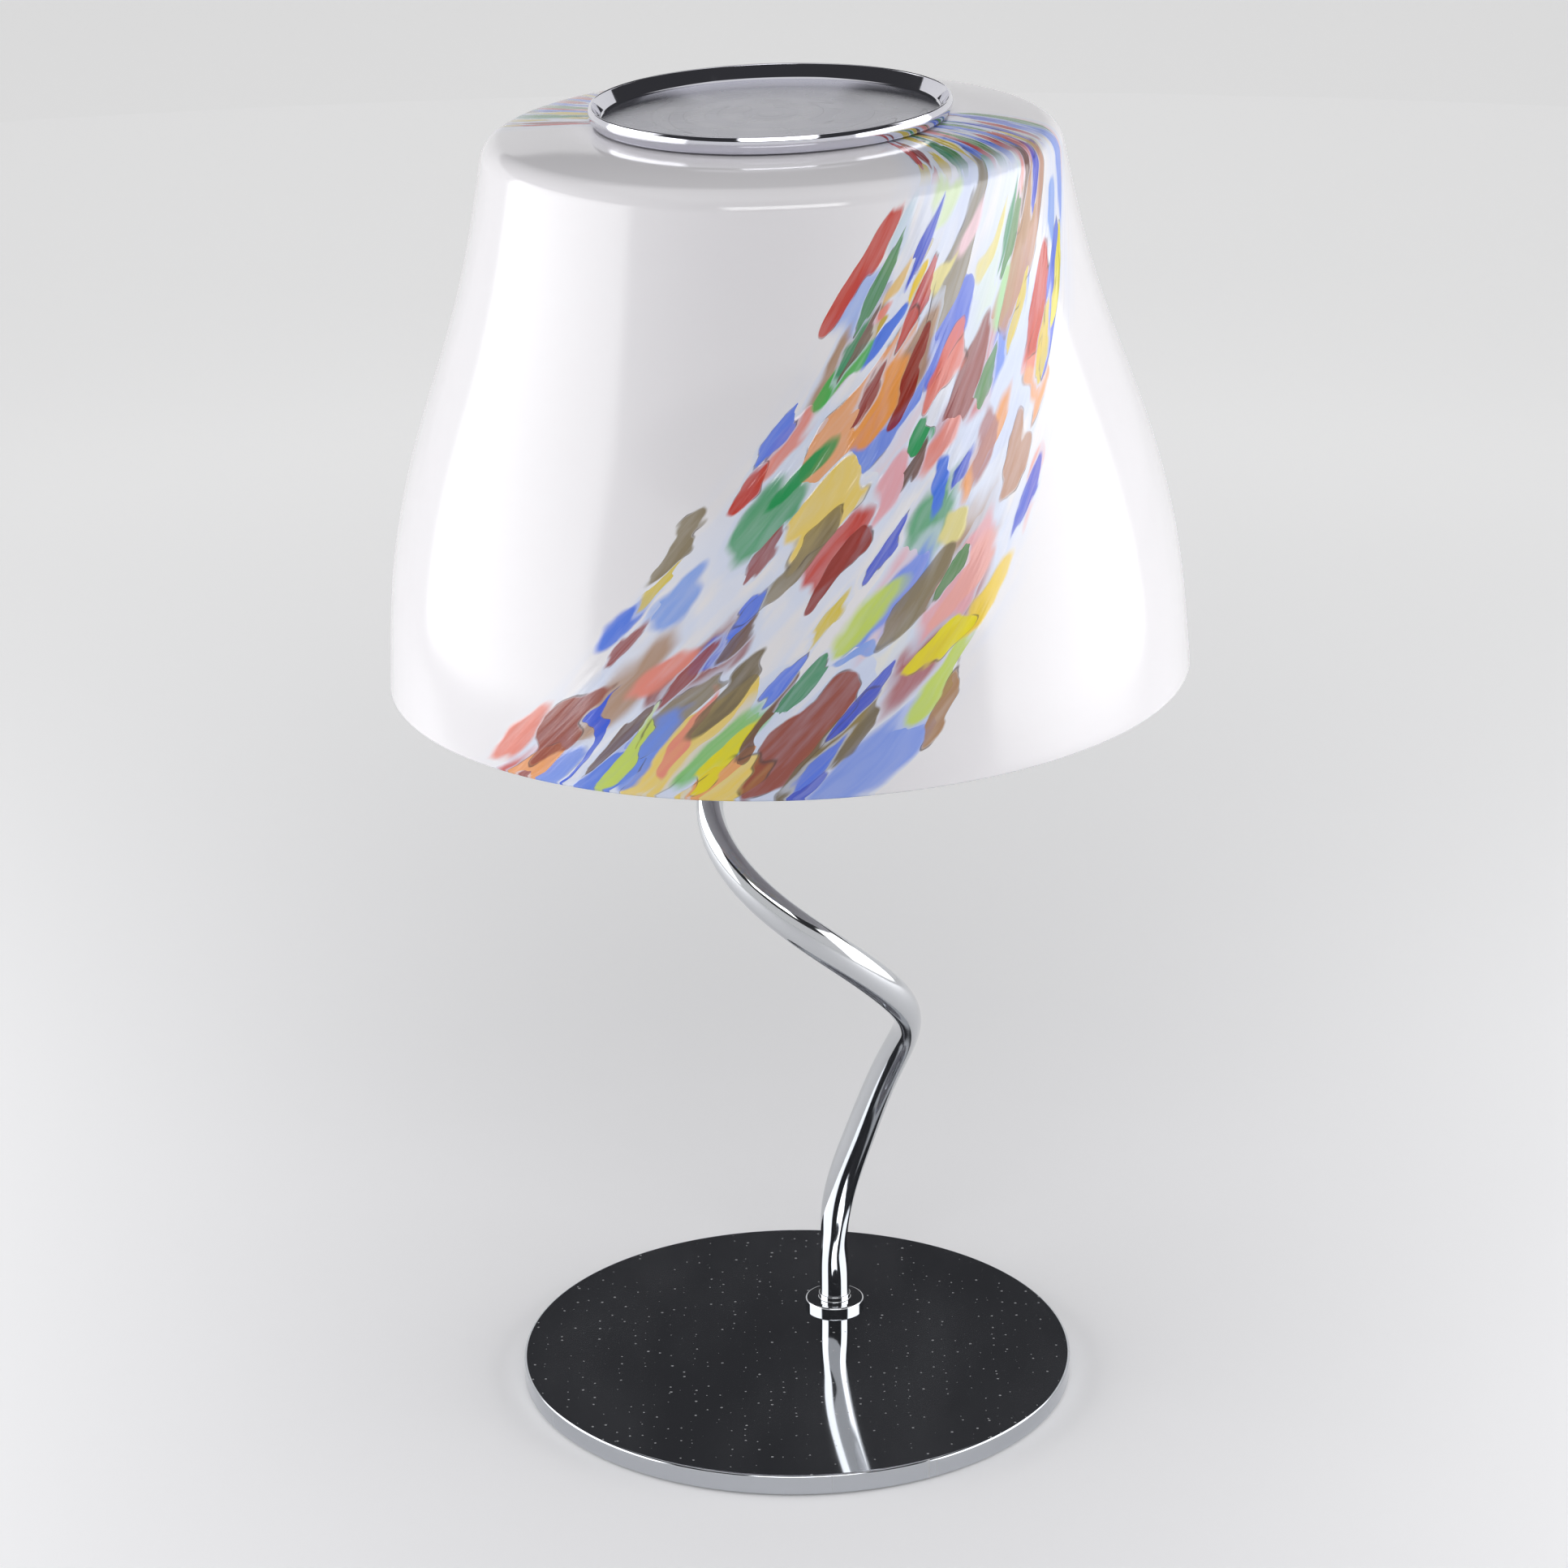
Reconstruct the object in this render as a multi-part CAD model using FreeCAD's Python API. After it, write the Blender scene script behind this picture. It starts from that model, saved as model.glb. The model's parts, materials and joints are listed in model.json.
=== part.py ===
import FreeCAD, Part
import math
import os

from FreeCAD import Placement, Rotation, Vector

# Accent lamp: a blown opal glass shade with a shallow polished dish on top, carried by one looped tube
# that rises from a round mirror-finished foot plate.
# Millimetres. +Z is up, and the origin is the centre of the underside of the foot's pad.
# -Y faces the viewer. The head leans a little to -X, and has its own frame: its zero is the shade's rim.

# Foot plate and the pad under it
PLATE_R = 110.0
PLATE_T = 8.0
PLATE_TOP_ROUND = 1.2
PLATE_BOTTOM_ROUND = 0.6
PAD_INSET = 4.0
PAD_T = 1.0
POCKET_R = 17.0
POCKET_DEPTH = 5.6
CHANNEL_W = 9.0
CORD_W = 5.6
CORD_H = 3.4
CORD_PLAY = 0.2
BUSH_LENGTH = 7.0
BUSH_FLANGE = 1.0
BUSH_FLANGE_T = 1.5

# Where the stem stands on the plate
FOOT_X = 15.7
FOOT_Y = 39.3
COLLAR_R = 11.9
COLLAR_H = 2.9
COLLAR_ROUND = 0.7
COLLAR_LIP_T = 0.4
COLLAR_LIP_H = 2.2
COLLAR_LIP_ROUND = 0.3

# Threaded lamp tube, and the nuts and washers on it
THREAD_R = 5.0
THREAD_BORE_R = 3.8
THREAD_GRIP = 10.0
FIT = 0.05
SLIDING_PLAY = 0.15
NUT_FLATS = 14.0
NUT_T = 3.0
NUT_CHAMFER = 0.6
LOCK_WASHER_R = 8.5
LOCK_WASHER_T = 0.8
LOCK_WASHER_TEETH = 10
LOCK_WASHER_GAP_SHARE = 0.35
THREAD_END = 0.6

# Stem: a round tube, bent into one loop round an upright winding axis
TUBE_R = 6.0
TUBE_WALL = 1.5
FOOT_STRAIGHT = 12.0
HEAD_STRAIGHT = 12.0
WINDING_X = 6.0
WINDING_Y = -5.0
WINDING_R = 50.0
# Each station: share of the climb, share of WINDING_R, bearing in degrees from +X
STEM_STATION_SHARES = [
    (0.13, 0.87, 76.5),
    (0.257, 0.79, 60.0),
    (0.374, 0.73, 32.0),
    (0.454, 0.76, 0.0),
    (0.518, 0.83, -31.0),
    (0.598, 0.88, -68.0),
    (0.647, 0.89, -93.0),
    (0.722, 0.87, -133.0),
    (0.786, 0.78, -163.0),
    (0.849, 0.51, -193.0),
]
STEM_SPANS = 10

# Head: the shade's rim centre, and the lean of everything above the stem
RIM_X = -0.3
RIM_Y = 9.4
RIM_Z = 296.0
HEAD_LEAN = 1.38
STEM_END = 22.0

# Glass shade, in heights above its rim
GLASS_T = 4.0
SHADE_H = 213.0
# Each station: height above the rim, outer radius
SHADE_STATIONS = [
    (0.0, 153.5),
    (17.0, 152.4),
    (33.0, 151.2),
    (55.0, 148.2),
    (77.0, 143.4),
    (99.0, 137.0),
    (121.0, 129.3),
    (143.0, 121.9),
    (165.0, 115.8),
]
SHOULDER_R = 106.8
SHOULDER_RUN = 6.5
CROWN_RISE = 4.4
SEAT_R = 60.0
SHOULDER_PULL = 0.6
RIM_ROUND = 1.2
GLASS_HOLE_R = 21.0

# Seat of the glass: a plate on the harp and a soft ring between
RING_T = 3.0
RING_R = 42.0
RING_BORE_R = 14.0
RING_ROUND = 0.8
RING_LIP_T = 2.0
RING_LIP_H = 3.0
RING_LIP_ROUND = 0.6
SEAT_PLATE_R = 40.0
SEAT_PLATE_T = 1.5
FELT_T = 0.8
FELT_R = 56.0
FELT_INSET = 1.0

# Dish on top
DISH_R = 67.5
DISH_FOOT_INSET = 1.7
DISH_LIP_INSET = 0.5
DISH_H = 6.4
DISH_FLOOR_T = 0.9
DISH_LIP_T = 1.0
DISH_WALL_RUN = 3.4
DISH_WALL_RISE = 2.6
DISH_HOLLOW = 0.5
BOSS_R = 9.0
BOSS_ROUND = 0.5
BOSS_GAP = 0.3

# Harp: a flat strip bent round the bulb
STRIP_W = 12.0
STRIP_T = 2.0
HARP_HALF_W = 44.0
HARP_TOP_ROUND = 30.0
SADDLE_ROUND = 6.0
SADDLE_EAR = 24.0
RIVET_R = 2.0
RIVET_HEAD_R = 3.6
RIVET_HEAD_T = 1.2
RIVET_PITCH = 10.0

# Lampholder for a 27 mm screw cap
HOLDER_R = 19.5
HOLDER_NECK_R = 8.5
HOLDER_NECK_H = 8.0
HOLDER_CAP_H = 22.0
HOLDER_SHELL_H = 36.0
HOLDER_WALL = 1.8
HOLDER_JOINT = 8.0
HOLDER_FIT = 0.1
HOLDER_NECK_ROUND = 1.0
HOLDER_SHOULDER_ROUND = 2.0
HOLDER_MOUTH_ROUND = 2.5
HOLDER_MOUTH_LIP_ROUND = 0.6
HOLDER_LEDGE = 1.0
BLOCK_T = 7.0
BLOCK_ROUND = 0.8
SLEEVE_R = 13.5
SLEEVE_T = 0.5
SLEEVE_GAP = 1.2
CONTACT_W = 6.0
CONTACT_T = 0.6
CONTACT_RISE = 3.0
CONTACT_REACH = 9.0
TERMINAL_R = 1.5
TERMINAL_HEAD_R = 2.8
TERMINAL_HEAD_T = 1.8
TERMINAL_LENGTH = 5.0
TERMINAL_X = 10.0

# Bulb: pear-shaped, 60 mm across, on a 27 mm screw cap
BULB_R = 30.0
BULB_LENGTH = 107.0
BULB_GLASS_T = 0.8
CAP_R = 13.1
CAP_THREAD_DEPTH = 0.9
CAP_PITCH = 3.63
CAP_TURNS = 5
CAP_COLLAR_H = 3.5
CAP_WALL = 0.4
CAP_TIP_R = 4.8
CAP_TIP_H = 1.6
INSULATOR_H = 3.4
INSULATOR_LAND = 1.0
NECK_R = 12.0
WAIST_FLARE = 1.5
WAIST_H = 8.0
WAIST_PULL = 9.0
BELLY_ANGLE = 35.0
BELLY_PULL = 14.0
TIP_GAP = 0.3

# The pad's edge, and the heights of the foot's stack, from the table up
PAD_R = PLATE_R - PAD_INSET
PLATE_BOTTOM = PAD_T
PLATE_TOP = PAD_T + PLATE_T
POCKET_TOP = PLATE_BOTTOM + POCKET_DEPTH
FOOT_NUT_BOTTOM = POCKET_TOP - LOCK_WASHER_T - NUT_T

# Heights in the head's frame
GLASS_UNDER = SHADE_H - GLASS_T
SEAT_PLATE_TOP = GLASS_UNDER - RING_T
HARP_TOP = SEAT_PLATE_TOP - SEAT_PLATE_T
UPPER_NUT_TOP = SEAT_PLATE_TOP + NUT_T
LOWER_NUT_TOP = HARP_TOP - STRIP_T - LOCK_WASHER_T
DISH_BOTTOM = SHADE_H + FELT_T
DISH_FLOOR = DISH_BOTTOM + DISH_FLOOR_T
SADDLE_TOP = STEM_END + STRIP_T
HOLDER_BOTTOM = SADDLE_TOP + LOCK_WASHER_T
SHELL_BOTTOM = HOLDER_BOTTOM + HOLDER_CAP_H - HOLDER_JOINT
SHELL_TOP = SHELL_BOTTOM + HOLDER_SHELL_H
BLOCK_BOTTOM = SHELL_BOTTOM
BLOCK_TOP = BLOCK_BOTTOM + BLOCK_T
TIP_BOTTOM = BLOCK_TOP + CONTACT_RISE + TIP_GAP
INSULATOR_BOTTOM = TIP_BOTTOM + CAP_TIP_H
CAP_BOTTOM = INSULATOR_BOTTOM + INSULATOR_H
CAP_TOP = CAP_BOTTOM + CAP_TURNS * CAP_PITCH + CAP_COLLAR_H
BULB_TOP = TIP_BOTTOM + BULB_LENGTH

UP = Vector(0, 0, 1)
ORIGIN = Vector(0, 0, 0)
HEAD = Placement(Vector(RIM_X, RIM_Y, RIM_Z), Rotation(Vector(0, 1, 0), -HEAD_LEAN))
FOOT = Placement(Vector(FOOT_X, FOOT_Y, 0), Rotation())


def in_head(shape):
    """A shape drawn in the head's frame, moved to its place on the lamp."""
    moved = shape.copy()
    moved.Placement = HEAD.multiply(moved.Placement)
    return moved


def at_foot(shape):
    """A shape drawn on the stem's foot axis, moved to its place on the plate."""
    moved = shape.copy()
    moved.Placement = FOOT.multiply(moved.Placement)
    return moved


def side(radius, height):
    """A point of an outline in the XZ plane."""
    return Vector(radius, 0, height)


def corner_arc(before, corner, after, radius):
    """The arc that rounds a corner, as its first, middle and last point."""
    to_before = (before - corner).normalize()
    to_after = (after - corner).normalize()
    half = to_before.getAngle(to_after) / 2
    reach = radius / math.tan(half)
    bisector = (to_before + to_after).normalize()
    centre = corner + bisector * (radius / math.sin(half))
    middle = centre - bisector * radius
    return corner + to_before * reach, middle, corner + to_after * reach


def outline(corners):
    """A closed face in the XZ plane. A corner is (radius, height) or (radius, height, rounding)."""
    points = [side(c[0], c[1]) for c in corners]
    rounding = [c[2] if len(c) > 2 else 0.0 for c in corners]
    count = len(points)
    edges = []
    starts = []
    ends = []
    for i in range(count):
        if rounding[i] > 0:
            first, middle, last = corner_arc(points[i - 1], points[i], points[(i + 1) % count], rounding[i])
            edges.append(Part.Arc(first, middle, last).toShape())
            starts.append(first)
            ends.append(last)
        else:
            starts.append(points[i])
            ends.append(points[i])
    for i in range(count):
        following = starts[(i + 1) % count]
        if ends[i].distanceToPoint(following) > 1e-6:
            edges.append(Part.makeLine(ends[i], following))
    return Part.Face(Part.Wire(Part.__sortEdges__(edges)))


def turned(corners):
    """A solid turned round the Z axis."""
    return outline(corners).revolve(ORIGIN, UP, 360)


def tube_between(outer, inner, low, high):
    """A plain ring."""
    ring = Part.makeCylinder(outer, high - low, side(0, low))
    return ring.cut(Part.makeCylinder(inner, high - low, side(0, low)))


def threaded_tube(low, high):
    """A hollow threaded lamp tube with chamfered ends."""
    return turned([
        (THREAD_BORE_R, low),
        (THREAD_R - THREAD_END, low),
        (THREAD_R, low + THREAD_END),
        (THREAD_R, high - THREAD_END),
        (THREAD_R - THREAD_END, high),
        (THREAD_BORE_R, high),
    ])


def hex_nut(low):
    """A thin hexagon nut with its corners turned off."""
    half_flats = NUT_FLATS / 2
    corner_r = half_flats / math.cos(math.radians(30))
    points = []
    for i in range(7):
        angle = math.radians(60 * i)
        points.append(Vector(corner_r * math.cos(angle), corner_r * math.sin(angle), low))
    body = Part.Face(Part.makePolygon(points)).extrude(Vector(0, 0, NUT_T))
    top = low + NUT_T
    facing = turned([
        (0, low),
        (corner_r - NUT_CHAMFER, low),
        (corner_r + NUT_CHAMFER, low + NUT_CHAMFER),
        (corner_r + NUT_CHAMFER, top - NUT_CHAMFER),
        (corner_r - NUT_CHAMFER, top),
        (0, top),
    ])
    bore = Part.makeCylinder(THREAD_R + FIT, NUT_T, side(0, low))
    return body.common(facing).cut(bore)


def lock_washer(low):
    """A washer with teeth round its edge."""
    washer = tube_between(LOCK_WASHER_R, THREAD_R + SLIDING_PLAY, low, low + LOCK_WASHER_T)
    depth = (LOCK_WASHER_R - THREAD_R) / 2
    width = 2 * math.pi * LOCK_WASHER_R / LOCK_WASHER_TEETH * LOCK_WASHER_GAP_SHARE
    for i in range(LOCK_WASHER_TEETH):
        corner = Vector(LOCK_WASHER_R - depth, -width / 2, low)
        gap = Part.makeBox(2 * depth, width, LOCK_WASHER_T, corner)
        gap.rotate(ORIGIN, UP, i * 360 / LOCK_WASHER_TEETH)
        washer = washer.cut(gap)
    return washer


def slot_block(width, height, length, base):
    """A bar with a flat oval section that runs along +Y from y = 0, standing on the height base."""
    radius = height / 2
    half = width / 2 - radius
    middle = base + radius
    core = Part.makeBox(2 * half, length, height, Vector(-half, 0, base))
    for x in (-half, half):
        core = core.fuse(Part.makeCylinder(radius, length, Vector(x, 0, middle), Vector(0, 1, 0)))
    return core.removeSplitter()


# Foot

def channel_end():
    """The distance from the stem's foot to the plate's edge behind it."""
    return math.sqrt(PLATE_R ** 2 - FOOT_X ** 2) - FOOT_Y


def base_plate():
    plate = turned([
        (0, PLATE_BOTTOM),
        (PLATE_R, PLATE_BOTTOM, PLATE_BOTTOM_ROUND),
        (PLATE_R, PLATE_TOP, PLATE_TOP_ROUND),
        (0, PLATE_TOP),
    ])
    hole = Part.makeCylinder(THREAD_R + SLIDING_PLAY, PLATE_TOP, ORIGIN)
    pocket = Part.makeCylinder(POCKET_R, POCKET_DEPTH, side(0, PLATE_BOTTOM))
    channel = Part.makeBox(CHANNEL_W, PLATE_R, POCKET_DEPTH, Vector(-CHANNEL_W / 2, 0, PLATE_BOTTOM))
    for tool in (hole, pocket, channel):
        plate = plate.cut(at_foot(tool))
    return plate


def base_pad():
    return Part.makeCylinder(PAD_R, PAD_T)


def cable_bush():
    """The soft bush that lines the channel's mouth, flanged inside the plate's edge."""
    end = channel_end()
    outer_w = CHANNEL_W - 2 * FIT
    outer_h = POCKET_DEPTH - FIT
    inner_w = CORD_W + 2 * CORD_PLAY
    inner_h = CORD_H + 2 * CORD_PLAY
    opening_base = PLATE_BOTTOM + (outer_h - inner_h) / 2
    start = end - BUSH_LENGTH
    body = Part.makeBox(outer_w, BUSH_LENGTH, outer_h, Vector(-outer_w / 2, start, PLATE_BOTTOM))
    relief_length = BUSH_LENGTH - 2 * BUSH_FLANGE_T
    for x in (-outer_w / 2 - BUSH_FLANGE, outer_w / 2 - BUSH_FLANGE):
        corner = Vector(x, start + BUSH_FLANGE_T, PLATE_BOTTOM)
        body = body.cut(Part.makeBox(2 * BUSH_FLANGE, relief_length, outer_h, corner))
    opening = slot_block(inner_w, inner_h, PLATE_R, opening_base)
    return at_foot(body.cut(opening))


def foot_nipple():
    return at_foot(threaded_tube(FOOT_NUT_BOTTOM - THREAD_END, PLATE_TOP + THREAD_GRIP))


def foot_washer():
    return at_foot(lock_washer(POCKET_TOP - LOCK_WASHER_T))


def foot_nut():
    return at_foot(hex_nut(FOOT_NUT_BOTTOM))


def foot_collar():
    """A low ring on the plate, with a small raised lip where the tube comes through."""
    bore_r = TUBE_R + FIT
    lip_r = bore_r + COLLAR_LIP_T
    ring_top = PLATE_TOP + COLLAR_H
    lip_top = ring_top + COLLAR_LIP_H
    return at_foot(turned([
        (bore_r, PLATE_TOP),
        (COLLAR_R, PLATE_TOP),
        (COLLAR_R, ring_top, COLLAR_ROUND),
        (lip_r, ring_top),
        (lip_r, lip_top, COLLAR_LIP_ROUND),
        (bore_r, lip_top),
    ]))


# Stem

def stem_curve():
    """A smooth curve from the plate to the harp, through the foot's and the head's straight ends."""
    top = HEAD.multVec(side(0, STEM_END))
    points = [Vector(FOOT_X, FOOT_Y, PLATE_TOP), Vector(FOOT_X, FOOT_Y, PLATE_TOP + FOOT_STRAIGHT)]
    for climb, reach, bearing in STEM_STATION_SHARES:
        angle = math.radians(bearing)
        x = WINDING_X + reach * WINDING_R * math.cos(angle)
        y = WINDING_Y + reach * WINDING_R * math.sin(angle)
        points.append(Vector(x, y, PLATE_TOP + climb * (top.z - PLATE_TOP)))
    points += [HEAD.multVec(side(0, STEM_END - HEAD_STRAIGHT)), top]
    curve = Part.BSplineCurve()
    curve.interpolate(points)
    return curve, points[1], points[-2]


def matching_arcs(start, start_way, end, end_way):
    """Two arcs that leave one point along its direction and reach the other along its own."""
    span = end - start
    ways = start_way + end_way
    spread = 2 * (1 - start_way.dot(end_way))
    lean = span.dot(ways)
    if spread < 1e-9:
        return [Part.makeLine(start, end)]
    reach = (math.sqrt(lean ** 2 + spread * span.dot(span)) - lean) / spread
    first_corner = start + start_way * reach
    second_corner = end - end_way * reach
    joint = (first_corner + second_corner) / 2
    arcs = []
    for before, corner, after in ((start, first_corner, joint), (joint, second_corner, end)):
        half = (before - corner).getAngle(after - corner) / 2
        first, middle, last = corner_arc(before, corner, after, reach * math.tan(half))
        arcs.append(Part.Arc(before, middle, after).toShape())
    return arcs


def stem_path():
    """The tube's whole centre line: a straight foot, arcs that follow the curve, and a straight head."""
    curve, low, high = stem_curve()
    first = curve.parameter(low)
    run = curve.length(first, curve.parameter(high))
    marks = [curve.parameterAtDistance(run * i / STEM_SPANS, first) for i in range(STEM_SPANS + 1)]
    places = [curve.value(mark) for mark in marks]
    ways = [curve.tangent(mark)[0] for mark in marks]
    places[0] = low
    places[-1] = high
    ways[0] = UP
    ways[-1] = HEAD.Rotation.multVec(UP)
    edges = [Part.makeLine(Vector(FOOT_X, FOOT_Y, PLATE_TOP), low)]
    for i in range(STEM_SPANS):
        edges += matching_arcs(places[i], ways[i], places[i + 1], ways[i + 1])
    edges.append(Part.makeLine(high, HEAD.multVec(side(0, STEM_END))))
    return Part.Wire(edges)


def stem_tube():
    """The tube, with a threaded bore at each end."""
    start = Vector(FOOT_X, FOOT_Y, PLATE_TOP)
    outside = Part.Wire(Part.Circle(start, UP, TUBE_R).toShape())
    inside = Part.Wire(Part.Circle(start, UP, TUBE_R - TUBE_WALL).toShape())
    path = stem_path()
    tube = path.makePipe(Part.Face(outside)).cut(path.makePipe(Part.Face(inside)))
    foot_thread = at_foot(Part.makeCylinder(THREAD_R + FIT, THREAD_GRIP, side(0, PLATE_TOP)))
    head_thread = in_head(Part.makeCylinder(THREAD_R + FIT, THREAD_GRIP, side(0, STEM_END - THREAD_GRIP)))
    return tube.cut(foot_thread).cut(head_thread)


# Harp

def strip_path(corners):
    """A face in the XZ plane: a strip's edge view, given by its outside corners from end to end."""
    wire_points = [side(c[0], c[1]) for c in corners]
    edges = []
    last = wire_points[0]
    for i in range(1, len(corners) - 1):
        before, corner, after = wire_points[i - 1:i + 2]
        first, middle, end = corner_arc(before, corner, after, corners[i][2])
        edges.append(Part.makeLine(last, first))
        edges.append(Part.Arc(first, middle, end).toShape())
        last = end
    edges.append(Part.makeLine(last, wire_points[-1]))
    return edges


def strip_solid(corners, inner_corners):
    """A flat strip STRIP_W wide, between its outer and its inner line."""
    outer = strip_path(corners)
    inner = strip_path(inner_corners)
    ends = [Part.makeLine(side(*corners[i]), side(*inner_corners[i])) for i in (0, -1)]
    face = Part.Face(Part.Wire(Part.__sortEdges__(outer + inner + ends)))
    strip = face.extrude(Vector(0, STRIP_W, 0))
    strip.translate(Vector(0, -STRIP_W / 2, 0))
    return strip


def rivet_places():
    """The rivets' heights on the harp's two legs."""
    low = STEM_END + SADDLE_EAR / 2
    return [low, low + RIVET_PITCH]


def rivet_holes(radius):
    holes = []
    for height in rivet_places():
        start = Vector(-HARP_HALF_W - 2 * STRIP_T, 0, height)
        holes.append(Part.makeCylinder(radius, 2 * HARP_HALF_W + 4 * STRIP_T, start, Vector(1, 0, 0)))
    return holes


def harp_saddle():
    """The lower strip, with two ears turned up inside the arch's legs."""
    half = HARP_HALF_W - STRIP_T
    ear_top = STEM_END + SADDLE_EAR
    strip = strip_solid(
        [(-half, ear_top), (-half, STEM_END, SADDLE_ROUND), (half, STEM_END, SADDLE_ROUND), (half, ear_top)],
        [(-half + STRIP_T, ear_top), (-half + STRIP_T, SADDLE_TOP, SADDLE_ROUND - STRIP_T),
         (half - STRIP_T, SADDLE_TOP, SADDLE_ROUND - STRIP_T), (half - STRIP_T, ear_top)],
    )
    bore = Part.makeCylinder(THREAD_R + SLIDING_PLAY, 2 * STRIP_T, side(0, STEM_END - STRIP_T / 2))
    strip = strip.cut(bore)
    for hole in rivet_holes(RIVET_R + FIT):
        strip = strip.cut(hole)
    return in_head(strip)


def harp_arch():
    """The upper strip: two legs and a bridge that carries the seat plate."""
    foot = STEM_END + SADDLE_ROUND
    inner = HARP_HALF_W - STRIP_T
    strip = strip_solid(
        [(-HARP_HALF_W, foot), (-HARP_HALF_W, HARP_TOP, HARP_TOP_ROUND),
         (HARP_HALF_W, HARP_TOP, HARP_TOP_ROUND), (HARP_HALF_W, foot)],
        [(-inner, foot), (-inner, HARP_TOP - STRIP_T, HARP_TOP_ROUND - STRIP_T),
         (inner, HARP_TOP - STRIP_T, HARP_TOP_ROUND - STRIP_T), (inner, foot)],
    )
    bore = Part.makeCylinder(THREAD_R + SLIDING_PLAY, 2 * STRIP_T, side(0, HARP_TOP - 1.5 * STRIP_T))
    strip = strip.cut(bore)
    for hole in rivet_holes(RIVET_R + FIT):
        strip = strip.cut(hole)
    return in_head(strip)


def harp_rivets():
    """The four rivets that join the legs to the ears."""
    rivets = []
    outside = HARP_HALF_W
    inside = HARP_HALF_W - 2 * STRIP_T
    for height in rivet_places():
        profile = turned([
            (0, inside - RIVET_HEAD_T),
            (RIVET_HEAD_R, inside - RIVET_HEAD_T, RIVET_HEAD_T / 2),
            (RIVET_HEAD_R, inside),
            (RIVET_R, inside),
            (RIVET_R, outside),
            (RIVET_HEAD_R, outside),
            (RIVET_HEAD_R, outside + RIVET_HEAD_T, RIVET_HEAD_T / 2),
            (0, outside + RIVET_HEAD_T),
        ])
        for turn in (90, -90):
            rivet = profile.copy()
            rivet.rotate(ORIGIN, Vector(0, 1, 0), turn)
            rivet.translate(side(0, height))
            rivets.append(rivet)
    return in_head(Part.makeCompound(rivets))


# Lampholder

def head_nipple():
    return in_head(threaded_tube(STEM_END - THREAD_GRIP, HOLDER_BOTTOM + HOLDER_NECK_H))


def saddle_washer():
    return in_head(lock_washer(SADDLE_TOP))


def block_seat_radius():
    """The radius of the cap's cup, where the block sits."""
    return HOLDER_R - 2 * HOLDER_WALL - HOLDER_FIT


def lampholder_cap():
    """The holder's lower half: a threaded neck that opens into a cup, with a ledge for the block."""
    top = HOLDER_BOTTOM + HOLDER_CAP_H
    spigot_r = HOLDER_R - HOLDER_WALL - HOLDER_FIT
    cup_r = block_seat_radius()
    shoulder = HOLDER_BOTTOM + HOLDER_NECK_H
    return in_head(turned([
        (THREAD_R + FIT, HOLDER_BOTTOM),
        (HOLDER_NECK_R, HOLDER_BOTTOM, HOLDER_NECK_ROUND),
        (HOLDER_NECK_R, shoulder - HOLDER_WALL, HOLDER_SHOULDER_ROUND),
        (HOLDER_R, shoulder + HOLDER_WALL, HOLDER_SHOULDER_ROUND),
        (HOLDER_R, SHELL_BOTTOM),
        (spigot_r, SHELL_BOTTOM),
        (spigot_r, top),
        (cup_r, top),
        (cup_r, BLOCK_BOTTOM),
        (cup_r - HOLDER_LEDGE, BLOCK_BOTTOM),
        (cup_r - HOLDER_LEDGE, shoulder + 2 * HOLDER_WALL, HOLDER_SHOULDER_ROUND),
        (THREAD_R + FIT, shoulder),
    ]))


def lampholder_shell():
    """The holder's upper half: a smooth skirt round the screw sleeve, with a turned-in mouth."""
    mouth_r = SLEEVE_R + SLEEVE_GAP
    return in_head(turned([
        (HOLDER_R - HOLDER_WALL, SHELL_BOTTOM),
        (HOLDER_R, SHELL_BOTTOM),
        (HOLDER_R, SHELL_TOP, HOLDER_MOUTH_ROUND),
        (mouth_r, SHELL_TOP, HOLDER_MOUTH_LIP_ROUND),
        (mouth_r, SHELL_TOP - HOLDER_WALL),
        (HOLDER_R - HOLDER_WALL, SHELL_TOP - HOLDER_WALL, HOLDER_MOUTH_ROUND - HOLDER_WALL),
    ]))


def lampholder_block():
    """The ceramic block that carries the contacts, seated on the cup's ledge."""
    block_r = block_seat_radius() - FIT
    block = turned([
        (0, BLOCK_BOTTOM),
        (block_r, BLOCK_BOTTOM, BLOCK_ROUND),
        (block_r, BLOCK_TOP, BLOCK_ROUND),
        (0, BLOCK_TOP),
    ])
    for x in (-TERMINAL_X, TERMINAL_X):
        hole = Part.makeCylinder(TERMINAL_R + FIT, TERMINAL_LENGTH, side(x, BLOCK_BOTTOM))
        block = block.cut(hole)
    return in_head(block)


def terminal_screws():
    """The two screws that clamp the leads, from below."""
    screws = []
    for x in (-TERMINAL_X, TERMINAL_X):
        shank = Part.makeCylinder(TERMINAL_R, TERMINAL_LENGTH, side(x, BLOCK_BOTTOM))
        head = Part.makeCylinder(TERMINAL_HEAD_R, TERMINAL_HEAD_T, side(x, BLOCK_BOTTOM - TERMINAL_HEAD_T))
        corner = Vector(x - TERMINAL_HEAD_R, -TERMINAL_HEAD_T / 4, BLOCK_BOTTOM - TERMINAL_HEAD_T)
        slot = Part.makeBox(2 * TERMINAL_HEAD_R, TERMINAL_HEAD_T / 2, TERMINAL_HEAD_T / 2, corner)
        screws.append(shank.fuse(head).cut(slot))
    return in_head(Part.makeCompound(screws))


def screw_sleeve():
    """The metal sleeve that the bulb's cap screws into."""
    return in_head(tube_between(SLEEVE_R + SLEEVE_T, SLEEVE_R, BLOCK_TOP, SHELL_TOP - HOLDER_WALL))


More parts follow.
